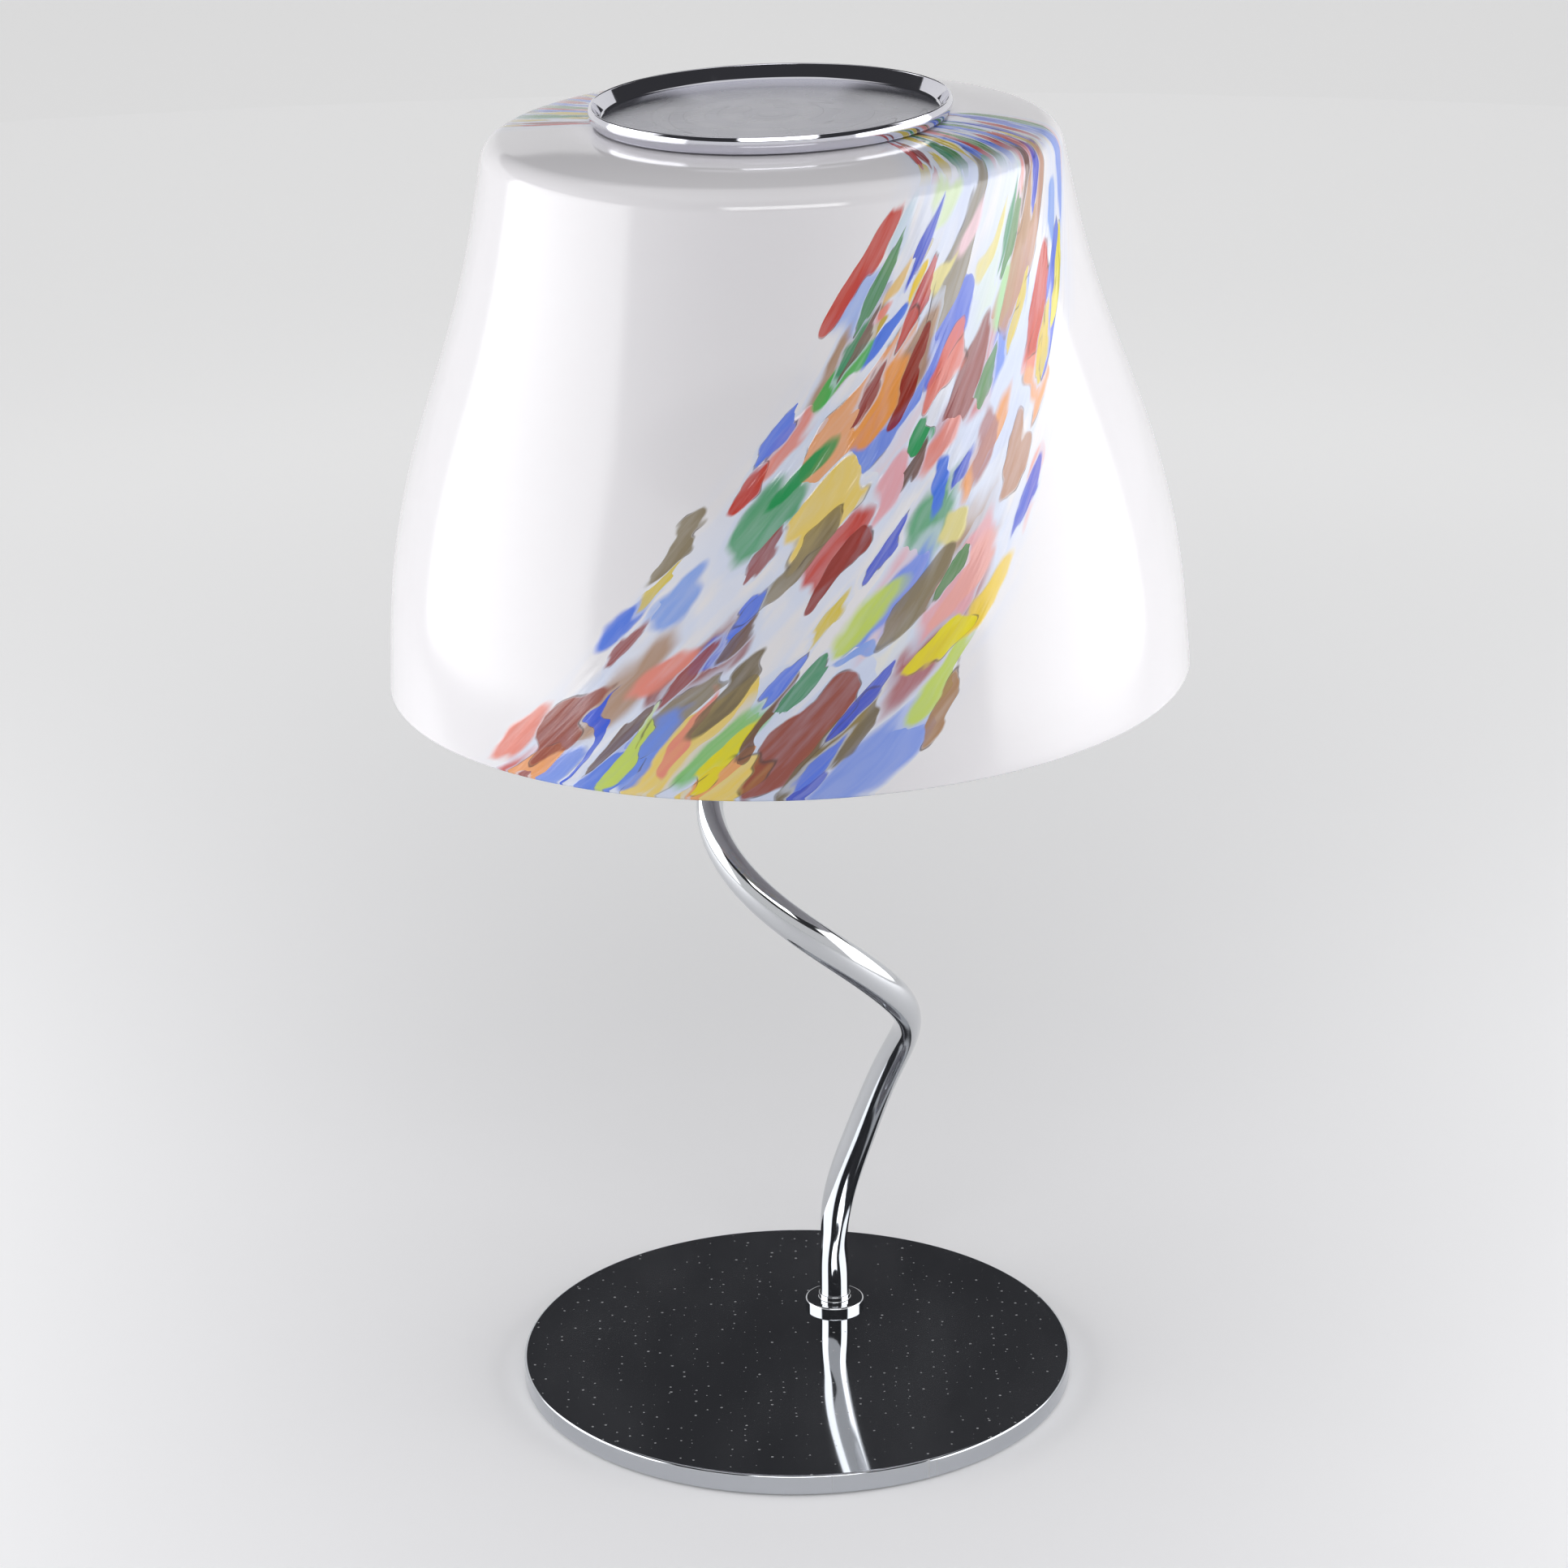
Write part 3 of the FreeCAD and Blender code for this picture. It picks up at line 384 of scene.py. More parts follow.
def chrome_tube(colours):
    """Chromium plate over drawn and bent steel tube: a clear mirror with a faint orange peel.

    The peel of a plated tube is about 3 mm from crest to crest, and a few microns deep."""
    return worked_metal("chromium plate, drawn steel tube", colours.chrome, (14 * MM, 0.035, 0.075), 3 * MM,
                        0.004 * MM, detail=1.0)


def mirror_plate(colours):
    """Chromium plate over ground steel: a flat mirror that shows dust and the haze of wiping."""
    material, tree, shader = new_material("chromium plate, ground and polished", {"Metallic": 1.0})
    coords = in_space(tree)
    # Wiping haze: long soft smudges, 30 mm and more, seen only as a slightly duller reflection
    haze = patches(tree, in_space(tree, stretch=(1.0, 0.35, 1.0)), 34 * MM, 0.0, 1.0, detail=4.0)
    rough = add(tree, "MapRange", haze, 0.0, 1.0, 0.018, 0.06)
    # Dust: grains up to 1 mm across, one in a 5 mm square, drawn large enough to show
    grains = add(tree, "TexVoronoi 2D", {"Vector": coords, "Scale": 1 / (5 * MM)})
    chance = add(tree, "SeparateColor", grains.outputs["Color"])
    size = add(tree, "Math POWER", chance, 3.0)
    size = add(tree, "Math MULTIPLY", size, 0.11)
    grain = add(tree, "Math GREATER_THAN", size, grains.outputs["Distance"])
    grain = add(tree, "Math MULTIPLY", grain, 0.7)
    # A film of fine dust and finger marks, seen as a faint grey mist on the mirror
    film = add(tree, "MapRange", haze, 0.2, 1.0, 0.004, 0.03)
    dust = add(tree, "Math ADD", grain, film)
    colour = add(tree, "Mix RGBA", {"Factor": dust, 6: colours.mirror, 7: "#B9BABC"})
    metal = add(tree, "Math SUBTRACT", 1.0, dust)
    feed(tree, shader, {"Base Color": colour, "Metallic": metal, "Roughness": rough})
    return material


def spun_dish(colours):
    """Chromium plate over spun brass: a mirror on wall and lip, and a satin floor with spinning marks."""
    material, tree, shader = new_material("chromium plate, spun brass", {"Metallic": 1.0})
    coords = in_space(tree, HEAD @ Vector((0.0, 0.0, DISH_FLOOR_HEIGHT * MM)))
    flat = add(tree, "VectorMath MULTIPLY", coords, (1.0, 1.0, 0.0))
    reach = add(tree, "VectorMath LENGTH", flat)
    bright, dull = (radius * MM for radius in SATIN_EDGE)
    floor = add(tree, "MapRange SMOOTHSTEP", reach, bright, dull, 0.0, 1.0)
    # The floor was brushed before it was plated, so it is duller than the wall: soft smudges, 14 mm across
    smudges = patches(tree, coords, 14 * MM, 0.265, 0.28, detail=0.0)
    rough = add(tree, "Mix FLOAT", {"Factor": floor, 2: 0.05, 3: smudges})
    # Spinning marks: long broken arcs round the middle, drawn about 0.5 mm wide, where a soft noise that is
    # narrow outwards and long round about passes its middle value
    slow = add(tree, "VectorMath MULTIPLY", flat, (0.10, 0.10, 0.0))
    slow = add(tree, "SeparateXYZ", slow)
    arcs = add(tree, "CombineXYZ", slow.outputs[0], slow.outputs[1], reach)
    wave = add(tree, "TexNoise", {"Vector": arcs, "Scale": 1 / (10 * MM), "Detail": 0.0})
    away = add(tree, "Math SUBTRACT", wave, 0.5)
    away = add(tree, "Math ABSOLUTE", away)
    line = add(tree, "MapRange SMOOTHSTEP", away, 0.012, 0.0, 0.0, 0.35)
    shown = add(tree, "Math MULTIPLY", line, floor)
    bands = add(tree, "Mix RGBA", {"Factor": wave, 6: "#E6E6EC", 7: colours.dish})
    tone = add(tree, "Mix RGBA", {"Factor": shown, 6: bands, 7: "#7C7C88"})
    feed(tree, shader, {"Base Color": tone, "Roughness": rough})
    height = add(tree, "Math MULTIPLY", wave, floor)
    relief(tree, shader, height, 0.004 * MM)
    return material


def plated_steel(colours):
    """Bright zinc plate on pressed and turned steel: a dull blue-grey mirror, mottled by the bath."""
    material, tree, shader = new_material("zinc plate, pressed steel", {"Metallic": 1.0})
    coords = in_space(tree)
    mottle = patches(tree, coords, 2.5 * MM, 0.0, 1.0)
    tone = add(tree, "Mix RGBA", {"Factor": mottle, 6: colours.steel, 7: "#A4A9AB"})
    rough = add(tree, "MapRange", mottle, 0.0, 1.0, 0.24, 0.36)
    feed(tree, shader, {"Base Color": tone, "Roughness": rough})
    relief(tree, shader, patches(tree, coords, 0.8 * MM, 0.0, 1.0), 0.01 * MM)
    return material


def soft_metal(name, code, grain, low, high):
    """A plain soft metal, such as a rivet's aluminium, a cap or solder: satin, with a fine worked surface."""
    return worked_metal(name, code, (grain, low, high), grain / 2, 0.01 * MM)


# Plastics, rubber, felt and ceramic

def moulded(name, code, rough, grain, depth, values):
    """A moulded or fired part: an even colour with a fine skin that breaks its highlights."""
    material, tree, shader = new_material(name, values)
    coords = in_space(tree)
    shades = patches(tree, coords, 12 * MM, 0.94, 1.0)
    tone = add(tree, "Mix RGBA", {"Factor": 1.0, 6: code, 7: shades}, blend_type="MULTIPLY")
    skin = patches(tree, coords, 4 * MM, rough * 0.85, rough * 1.15)
    feed(tree, shader, {"Base Color": tone, "Roughness": skin})
    relief(tree, shader, patches(tree, coords, grain, 0.0, 1.0), depth)
    return material


def pressed_felt(name, dark, light):
    """Pressed wool felt: a matted nap of crossing fibres, with a soft sheen at grazing angles."""
    material, tree, shader = new_material(name, {"Roughness": 0.95, "Sheen Weight": 0.4,
                                                 "Sheen Roughness": 0.6})
    # Fibres are 0.02 mm wide, drawn 0.35 mm wide so that they show
    across = patches(tree, in_space(tree, stretch=(1.0, 0.2, 1.0)), 0.35 * MM, 0.0, 1.0)
    along = patches(tree, in_space(tree, stretch=(0.2, 1.0, 1.0)), 0.35 * MM, 0.0, 1.0)
    nap = add(tree, "Math MULTIPLY", across, along)
    tone = add(tree, "Mix RGBA", {"Factor": nap, 6: dark, 7: light})
    feed(tree, shader, {"Base Color": tone})
    relief(tree, shader, nap, 0.15 * MM)
    return material


# Glass

# The chips' colours, in the order that chance picks them
CHIP_COLOURS = [
    "#2F5CE2", "#CC3A24", "#7CC86C", "#7A6C52", "#6F92F0", "#EE8E7E", "#F6D22A", "#943A2A",
    "#B08660", "#4F7CEA", "#2F9E5C", "#EFAAB2", "#8C7E60", "#CBE05E", "#A82E24", "#F3A04E",
]
PALE_COLOURS = ["#A8BEF8", "#F4F4FC", "#F7D8D4", "#CBD8FA", "#DCF0D8", "#FAF2D0", "#F8F8FE", "#F2D4DA"]
DARK_COLOURS = ["#6B4A34", "#2446D4", "#962C20", "#3F8A34", "#C8301E", "#E2C81E", "#4F78F0", "#1F8E54"]
# Each layer of chips, from the deepest up: seed, size across and along the band, share of cells filled, stir,
# softest edge, strength, colours
MIST_LAYER = (1, 26.0, 60.0, 0.90, 0.36, 0.42, 0.50, PALE_COLOURS)
CHIP_LAYERS = [
    (2, 20.0, 46.0, 0.76, 0.42, 0.34, 0.88, CHIP_COLOURS),
    (3, 15.0, 40.0, 0.46, 0.42, 0.20, 0.94, CHIP_COLOURS),
]
TOP_LAYER = (4, 7.0, 26.0, 0.18, 0.40, 0.14, 0.92, DARK_COLOURS)
# Drawn strands, only on the crown beside the dish
STRAND_LAYER = (5, 6.0, 15.0, 0.95, 0.40, 0.10, 0.95, DARK_COLOURS)
# Glass for the chips that are listed one by one
CHIP_GLASS = {
    "cobalt": "#2F5CE2", "blue": "#4F7CEA", "cornflower": "#7295EE", "sky": "#8CACF2", "ice": "#A6BEF6",
    "mist": "#D2E4F2", "leaf green": "#2F9E5C", "grass": "#52B85C", "pale green": "#B4E2A8",
    "mint": "#DDEFC8", "lime": "#CBE05E", "lemon": "#EEE010", "yellow": "#F6D22A", "straw": "#EADF97",
    "honey": "#EBC682", "ochre": "#C9AC40", "orange": "#F3A04E", "salmon": "#EE8E7E",
    "peach": "#F2AEA6", "blush": "#F5D2DC", "red": "#CC3A24", "coral": "#E87866", "garnet": "#962C20",
    "rust": "#9C4A38", "rosewood": "#B88486", "umber": "#7C5440", "olive": "#7A6C52",
    "khaki": "#8C7E60", "bronze": "#B08660", "copper": "#C2937A",
}
# Larger chips, listed one by one, the deepest first: distance from the band's middle, run up the glass, half
# its width, half its length, turn in steps of 8 degrees, softness, glass
LAID_CHIPS = [
    (-59, 176, 7, 20, 8, 0.50, "ice"),
    (-57, 204, 6, 11, 0, 0.50, "mist"),
    (-40, 212, 8, 12, 40, 0.45, "mint"),
    (-21, 196, 7, 13, 8, 0.45, "blush"),
    (-4, 188, 3.5, 14, 16, 0.40, "straw"),
    (-28, 180, 3.5, 13, 16, 0.40, "straw"),
    (-50, 183, 4, 10, 16, 0.40, "honey"),
    (14, 171, 8, 19, 8, 0.45, "pale green"),
    (40, 195, 4, 13, 0, 0.35, "sky"),
    (40, 150, 7, 12, 16, 0.35, "salmon"),
    (24, 121, 5.5, 17, -8, 0.25, "rosewood"),
    (44, 113, 4.5, 17, -16, 0.20, "copper"),
    (56, 102, 3.5, 15, -8, 0.35, "peach"),
    (42, 74, 5, 17, 8, 0.35, "peach"),
    (-50, 72, 6, 15, 0, 0.40, "sky"),
    (14, 66, 9, 13, 16, 0.40, "lime"),
    (22, 54, 3.5, 10, 72, 0.30, "sky"),
    (-36, 45, 8.5, 13, 8, 0.40, "salmon"),
    (-63, 19, 7, 16, 0, 0.35, "salmon"),
    (-61, 62, 5.5, 16, 8, 0.30, "blue"),
    (-25, 56, 7, 12, 0, 0.25, "cobalt"),
    (-10, 22, 3, 19, -24, 0.25, "salmon"),
    (-17, 17, 4.5, 16, -16, 0.30, "cornflower"),
    (-41, 116, 6.5, 14, 16, 0.25, "leaf green"),
    (-29, 139, 6, 13, 0, 0.30, "orange"),
    (20, 190, 6.5, 42, 8, 0.18, "copper"),
    (16, 198, 6, 18, -8, 0.25, "bronze"),
    (36, 162, 6.5, 21, 0, 0.20, "red"),
    (49, 169, 3.5, 13, 8, 0.20, "lemon"),
    (-6, 150, 6.5, 13, 0, 0.16, "coral"),
    (-3, 129, 4, 9, -16, 0.12, "leaf green"),
    (-22, 149, 3.5, 13, -8, 0.12, "garnet"),
    (-65, 188, 4, 25, 0, 0.14, "red"),
    (-40, 188, 2, 9, 0, 0.15, "ochre"),
    (-37, 172, 3.5, 9, 0, 0.30, "yellow"),
    (-51, 167, 3, 9, 24, 0.30, "salmon"),
    (-49, 162, 3, 8, 24, 0.25, "ochre"),
    (-42, 160, 4, 9, 24, 0.25, "blue"),
    (-50, 152, 5, 9, 24, 0.25, "grass"),
    (-57, 110, 4, 14, 0, 0.20, "red"),
    (-65, 94, 3, 13, -8, 0.16, "khaki"),
    (-22, 85, 5, 19, 16, 0.14, "khaki"),
    (-5, 86, 4.5, 13, 8, 0.10, "garnet"),
    (13, 108, 3, 14, -24, 0.25, "blue"),
    (27, 92, 5, 10, -16, 0.30, "straw"),
    (28, 70, 4.5, 17, -8, 0.14, "khaki"),
    (55, 68, 5.5, 17, 0, 0.30, "yellow"),
    (49, 52, 7, 12, 8, 0.18, "lemon"),
    (-10, 38, 6, 18, -8, 0.14, "olive"),
    (25, 23, 9, 23, -8, 0.10, "rust"),
    (38, 18, 6.5, 20, 0, 0.12, "olive"),
    (8, 31, 3, 17, -24, 0.12, "umber"),
    (6, 17, 4, 17, -8, 0.16, "lemon"),
    (-22, 17, 2, 17, -16, 0.20, "lime"),
    (-51, 21, 6.5, 19, -8, 0.14, "rust"),
    (-40, 19, 1.5, 20, -24, 0.15, "cobalt"),
    (64, 33, 4, 15, -16, 0.14, "bronze"),
]
# A laid chip softer than this has no line of painted shade along its edge
SOFT_CHIP = 0.22
# The line of painted shade lies inside a chip's edge by this share of the edge's softness
RIM_INSET = 0.4
# Shares of the band's half width, up to which a chip's middle may lie: the least, and what chance adds
BAND_EDGE = (0.78, 0.26)
# Half size of a chip in its cell: the least, and what chance adds
CHIP_SIZE = (0.46, 0.24)
# The least softness of an edge, and how far clear glass reaches past it
CRISP_EDGE = 0.03
CLEAR_RIM = 0.16
# Moves each layer's pattern to its own place, once for each seed, across and along
SEED_STEP = (7.31, 3.17)
# The runs over which the strands appear
STRANDS_APPEAR = (212.0, 228.0)
# Where the band runs: the run up the glass from the rim, and the angle of the band's middle
BAND_STATIONS = [
    (0.0, -18.0),
    (50.0, 0.0),
    (100.0, 16.0),
    (150.0, 33.0),
    (200.0, 50.0),
    (250.0, 64.0),
    (330.0, 68.0),
]
BAND_RADIUS = 130.0
# The chips are drawn out towards the crown: how fast they pass along the run, low on the wall and at the top
DRAW_LOW = 1.0
DRAW_HIGH = 0.40
# The runs at which that change starts and ends
DRAW_RUNS = (135.0, 235.0)


def fill_ramp(node, codes):
    """Fills a colour ramp with hard steps of the given colours."""
    ramp = node.color_ramp
    ramp.interpolation = "CONSTANT"
    while len(ramp.elements) < len(codes):
        ramp.elements.new(0.5)
    for i, code in enumerate(codes):
        ramp.elements[i].position = i / len(codes)
        ramp.elements[i].color = linear(code)


def stirred(tree, coords, scale, reach, seed):
    """Coordinates that a soft noise pushes about, by up to half the reach."""
    place = add(tree, "VectorMath MULTIPLY", coords, scale)
    step = (seed * SEED_STEP[0], seed * SEED_STEP[1], 0.0)
    place = add(tree, "VectorMath ADD", place, step)
    stir = add(tree, "TexNoise 2D", {"Vector": place, "Scale": 1.1, "Detail": 2.5})
    stir = add(tree, "VectorMath SUBTRACT", stir.outputs["Color"], (0.5, 0.5, 0.5))
    stir = add(tree, "VectorMath SCALE", {0: stir, "Scale": 2 * reach})
    return add(tree, "VectorMath ADD", place, stir)


def edge_shade_line(tree, distance, size, width):
    """A thin line where a distance passes a size: the mask for painted shade along a chip's edge."""
    away = add(tree, "Math SUBTRACT", distance, size)
    away = add(tree, "Math ABSOLUTE", away)
    return add(tree, "MapRange SMOOTHSTEP", away, width, 0.0, 0.0, 1.0)


def chip_layer(tree, coords, below, layer, half_width, gate=None):
    """One layer of long glass chips over a colour. Gives the new colour, the cover and the lines of painted
    shade along the chips' edges.
    """
    seed, across, along, filled, stir, soft, strength, codes = layer
    place = stirred(tree, coords, (1 / (across * MM), 1 / (along * MM), 1.0), stir, seed)
    chips = add(tree, "TexVoronoi 2D", {"Vector": place, "Scale": 1.0, "Randomness": 0.85, "Exponent": 1.35},
                distance="MINKOWSKI")
    distance = chips.outputs["Distance"]
    chance = add(tree, "SeparateColor", chips.outputs["Color"])
    middle = add(tree, "SeparateXYZ", chips.outputs["Position"])
    # How far the chip's middle lies from the band's middle, in metres
    offset = add(tree, "Math SUBTRACT", middle.outputs[0], seed * SEED_STEP[0])
    offset = add(tree, "Math MULTIPLY", offset, across * MM)
    offset = add(tree, "Math ABSOLUTE", offset)
    least, more = (share * half_width for share in BAND_EDGE)
    edge = add(tree, "Math MULTIPLY_ADD", chance.outputs[1], more, least)
    inside = add(tree, "Math LESS_THAN", offset, edge)
    kept = add(tree, "Math LESS_THAN", chance.outputs[2], filled)
    there = add(tree, "Math MULTIPLY", inside, kept)
    if gate:
        there = add(tree, "Math MULTIPLY", there, gate)
    size = add(tree, "Math MULTIPLY_ADD", chance.outputs[2], CHIP_SIZE[1], CHIP_SIZE[0])
    # A second chance value from the first: the part past the point of about five times as much
    blur = add(tree, "Math MULTIPLY", chance.outputs[0], 5.3)
    blur = add(tree, "Math FRACT", blur)
    blur = add(tree, "Math MULTIPLY_ADD", blur, soft, CRISP_EDGE)
    inner = add(tree, "Math SUBTRACT", size, blur)
    blob = add(tree, "MapRange SMOOTHSTEP", distance, size, inner, 0.0, 1.0)
    cover = add(tree, "Math MULTIPLY", blob, there)
    # Clear glass round a chip looks pale blue against the white
    outer = add(tree, "Math ADD", size, CLEAR_RIM)
    halo = add(tree, "MapRange SMOOTHSTEP", distance, outer, size, 0.0, 0.55)
    halo = add(tree, "Math MULTIPLY", halo, there)
    below = add(tree, "Mix RGBA", {"Factor": halo, 6: below, 7: "#DCE5FA"})
    pick = add(tree, "ValToRGB", chance.outputs[0])
    fill_ramp(pick, codes)
    # The glass of a chip is uneven: paler streaks run along it
    paler = streaks(tree, place, 1 / 5.0, 1 / 1.2, 3.0)
    depth = add(tree, "MapRange", paler, 0.3, 0.72, strength * 0.82, strength)
    amount = add(tree, "Math MULTIPLY", cover, depth)
    colour = add(tree, "Mix RGBA", {"Factor": amount, 6: below, 7: pick})
    # Only crisp chips get a thin dark line of painted shade along the edge
    rim = add(tree, "Math MULTIPLY_ADD", blur, -RIM_INSET, size)
    line = edge_shade_line(tree, distance, rim, 0.03)
    crisp = add(tree, "MapRange", blur, 0.13, 0.06, 0.0, 1.0)
    line = add(tree, "Math MULTIPLY", line, crisp)
    line = add(tree, "Math MULTIPLY", line, there)
    return colour, cover, line


def laid_chips(tree, place, veins):
    """All the listed chips, over nothing. Gives their colour, cover and lines of painted shade along their
    edges.

    They are added up apart from the other layers: the renderer holds only so many values at a time."""
    colour, cover, edge_shade_lines = "#000000", 0.0, 0.0
    turned = {}
    for across, run, half_width, half_length, turn, soft, glass in LAID_CHIPS:
        angle = math.radians(turn)
        if turn not in turned:
            turned[turn] = add(tree, "Mapping", {"Vector": place, "Rotation": (0.0, 0.0, angle)})
        start, end = drawn_run((run - half_length) * MM), drawn_run((run + half_length) * MM)
        middle = Matrix.Rotation(angle, 2) @ Vector((across * MM, (start + end) / 2))
        wide, long = 1 / (half_width * MM), 2 / (end - start)
        spot = add(tree, "VectorMath MULTIPLY_ADD", turned[turn], (wide, long, 0.0),
                   (-middle.x * wide, -middle.y * long, 0.0))
        distance = add(tree, "VectorMath LENGTH", spot)
        inside = add(tree, "MapRange SMOOTHSTEP", distance, 1.0, 1.0 - soft, 0.0, 1.0)
        amount = add(tree, "Math MULTIPLY", inside, veins)
        colour = add(tree, "Mix RGBA", {"Factor": amount, 6: colour, 7: CHIP_GLASS[glass]})
        cover = add(tree, "Mix FLOAT", {"Factor": amount, 2: cover, 3: 1.0})
        if soft < SOFT_CHIP:
            # Painted shade: a thin dark line along the edge of a crisp chip
            line = edge_shade_line(tree, distance, 1.0 - RIM_INSET * soft, 0.05)
            edge_shade_lines = add(tree, "Math MAXIMUM", edge_shade_lines, line)
    return colour, cover, edge_shade_lines


def heaped(tree, heap, layer):
    """The cover and the painted edge shade of a heap of layers with one more on it: the larger of each."""
    return [add(tree, "Math MAXIMUM", old, new) for old, new in zip(heap, layer)]


def opal_glass(colours, shade):
    """Blown opal glass with colour chips picked up in a band: white, glossy, softly rippled there."""
    material, tree, shader = new_material("opal glass, blown, with colour chips",
                                          {"Roughness": 0.09, "IOR": 1.5})
    half_width = shade.band_half_angle * BAND_RADIUS * MM
    coords = add(tree, "UVMap", uv_map="band")
    outside = add(tree, "Attribute", attribute_name="outside").outputs["Fac"]
    axes = add(tree, "SeparateXYZ", coords)
    off_middle = add(tree, "Math ABSOLUTE", axes.outputs[0])
    near = add(tree, "MapRange SMOOTHSTEP", off_middle, 1.2 * half_width, 0.8 * half_width, 0.0, 1.0)
    # White glass between the chips takes a cool cast from the colour under it
    mist = streaks(tree, coords, 11 * MM, 38 * MM, 2.0)
    mist = add(tree, "MapRange", mist, 0.40, 0.60, 0.0, 0.8)
    cast = add(tree, "Math MULTIPLY", mist, near)
    colour = add(tree, "Mix RGBA", {"Factor": cast, 6: colours.opal, 7: "#E4EAFB"})
    colour, _, _ = chip_layer(tree, coords, colour, MIST_LAYER, half_width)
    heap = (0.0, 0.0)
    for layer in CHIP_LAYERS:
        colour, *made = chip_layer(tree, coords, colour, layer, half_width)
        heap = heaped(tree, heap, made)
    # The stir pushes a laid chip's outline about by up to 4 mm across and 7 mm along
    place = stirred(tree, coords, (1 / (18 * MM), 1 / (34 * MM), 1.0), 0.42, 0)
    place = add(tree, "VectorMath MULTIPLY", place, (18 * MM, 34 * MM, 1.0))
    # Veins of thinner colour run along each chip, about 4 mm apart
    veins = streaks(tree, coords, 4 * MM, 22 * MM, 3.0)
    veins = add(tree, "MapRange", veins, 0.30, 0.62, 0.82, 0.97)
    laid, laid_cover, laid_edge_shade = laid_chips(tree, place, veins)
    heap = heaped(tree, heap, (laid_cover, laid_edge_shade))
    below = add(tree, "Mix RGBA", {"Factor": laid_cover, 6: colour, 7: "#000000"})
    colour = add(tree, "Mix RGBA", {"Factor": 1.0, 6: below, 7: laid}, blend_type="ADD")
    start, end = (drawn_run(run * MM) for run in STRANDS_APPEAR)
    crown = add(tree, "MapRange", axes.outputs[1], start, end, 0.0, 1.0)
    for layer, gate in ((TOP_LAYER, None), (STRAND_LAYER, crown)):
        colour, *made = chip_layer(tree, coords, colour, layer, half_width, gate)
        heap = heaped(tree, heap, made)
    chips, edge_shade_lines = heap
    # Painted shade: a thin dark line where a chip's edge turns under, broken up
    broken = add(tree, "TexNoise 2D", {"Vector": coords, "Scale": 1 / (9 * MM), "Detail": 1.0})
    broken = add(tree, "MapRange", broken, 0.42, 0.60, 0.0, 0.7)
    dark = add(tree, "Math MULTIPLY", edge_shade_lines, broken)
    colour = add(tree, "Mix RGBA", {"Factor": dark, 6: colour, 7: "#4F403E"})
    # The white lining hides most of the colour from inside
    shown = add(tree, "MapRange", outside, 0.0, 1.0, 0.22, 1.0)
    colour = add(tree, "Mix RGBA", {"Factor": shown, 6: colours.opal, 7: colour})
    feed(tree, shader, {"Base Color": colour})
    # Ripples run along the band, about 4 mm apart, and the chips stand a little proud
    ripple = add(tree, "Math MULTIPLY", streaks(tree, coords, 4 * MM, 26 * MM, 2.0), near)
    height = add(tree, "Math MULTIPLY_ADD", chips, 0.35, ripple)
    slow = patches(tree, in_space(tree), 45 * MM, 0.0, 0.25, detail=1.0)
    height = add(tree, "Math ADD", height, slow)
    relief(tree, shader, height, 0.18 * MM)
    return material


# Pieces

def base_plate(foot, material):
    """The foot plate, with the mouth of the cord's channel cut in its back edge."""
    low, high = node_bottom("base_plate"), node_top("base_plate")
    plate = outline([
        (0.0, low),
        (foot.plate_radius, low, foot.bottom_round),
        (foot.plate_radius, high, foot.top_round),
        (0.0, high),
    ], closed=False, segments=8)
    spin(plate, PLATE_STEPS)
    piece = add_piece("foot_plate", plate, material, "stand", ["base_plate"], even=False)
    bush_low, bush_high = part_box("cable_bush")
    cutter = bmesh.new()
    bmesh.ops.create_cube(cutter, size=1.0)
    size = (foot.channel_width, foot.plate_radius, 2 * foot.channel_height)
    bmesh.ops.scale(cutter, vec=size, verts=cutter.verts)
    place = ((bush_low.x + bush_high.x) / 2, bush_high.y, low)
    bmesh.ops.translate(cutter, vec=place, verts=cutter.verts)
    cut_piece(piece, cutter)
    even_normals(piece)


def cut_piece(piece, cutter):
    """Cuts a closed bmesh out of a piece."""
    mesh = bpy.data.meshes.new("cutter")
    cutter.to_mesh(mesh)
    cutter.free()
    tool = bpy.data.objects.new("cutter", mesh)
    bpy.context.scene.collection.objects.link(tool)
    cut = piece.modifiers.new("cut", "BOOLEAN")
    cut.object = tool
    evaluated = piece.evaluated_get(bpy.context.evaluated_depsgraph_get())
    result = bpy.data.meshes.new_from_object(evaluated)
    piece.modifiers.remove(cut)
    old = piece.data
    result.name = old.name
    piece.data = result
    result.set_sharp_from_angle(angle=SHARP_ANGLE)
    bpy.data.meshes.remove(old)
    bpy.data.objects.remove(tool)
    bpy.data.meshes.remove(mesh)


def foot_collar(foot, stem, material):
    """The turned collar at the stem's foot: a low ring, with a thin lip that stands up round the tube."""
    low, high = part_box("foot_collar")
    ring_top = low.z + foot.collar_height
    lip_radius = stem.tube_radius + foot.lip_wall
    ring = outline([
        (stem.tube_radius, low.z),
        (foot.collar_radius, low.z),
        (foot.collar_radius, ring_top, foot.collar_round),
        (lip_radius, ring_top, foot.lip_round),
        (lip_radius, high.z, foot.lip_round),
        (stem.tube_radius, high.z),
    ], closed=True)
    spin(ring, COLLAR_STEPS)
    bmesh.ops.translate(ring, vec=((low.x + high.x) / 2, (low.y + high.y) / 2, 0.0), verts=ring.verts)
    return add_piece("stem_collar", ring, material, "stand", ["foot_collar"])


# The stem's route, as in the CAD model: share of the climb, share of the winding radius, bearing in degrees
WINDING_CENTRE = (6.0, -5.0)
WINDING_RADIUS = 50.0
STEM_STATION_SHARES = [
    (0.13, 0.87, 76.5),
    (0.257, 0.79, 60.0),
    (0.374, 0.73, 32.0),
    (0.454, 0.76, 0.0),
    (0.518, 0.83, -31.0),
    (0.598, 0.88, -68.0),
    (0.647, 0.89, -93.0),
    (0.722, 0.87, -133.0),
    (0.786, 0.78, -163.0),
    (0.849, 0.51, -193.0),
]
STEM_HEAD_HEIGHT = 22.0


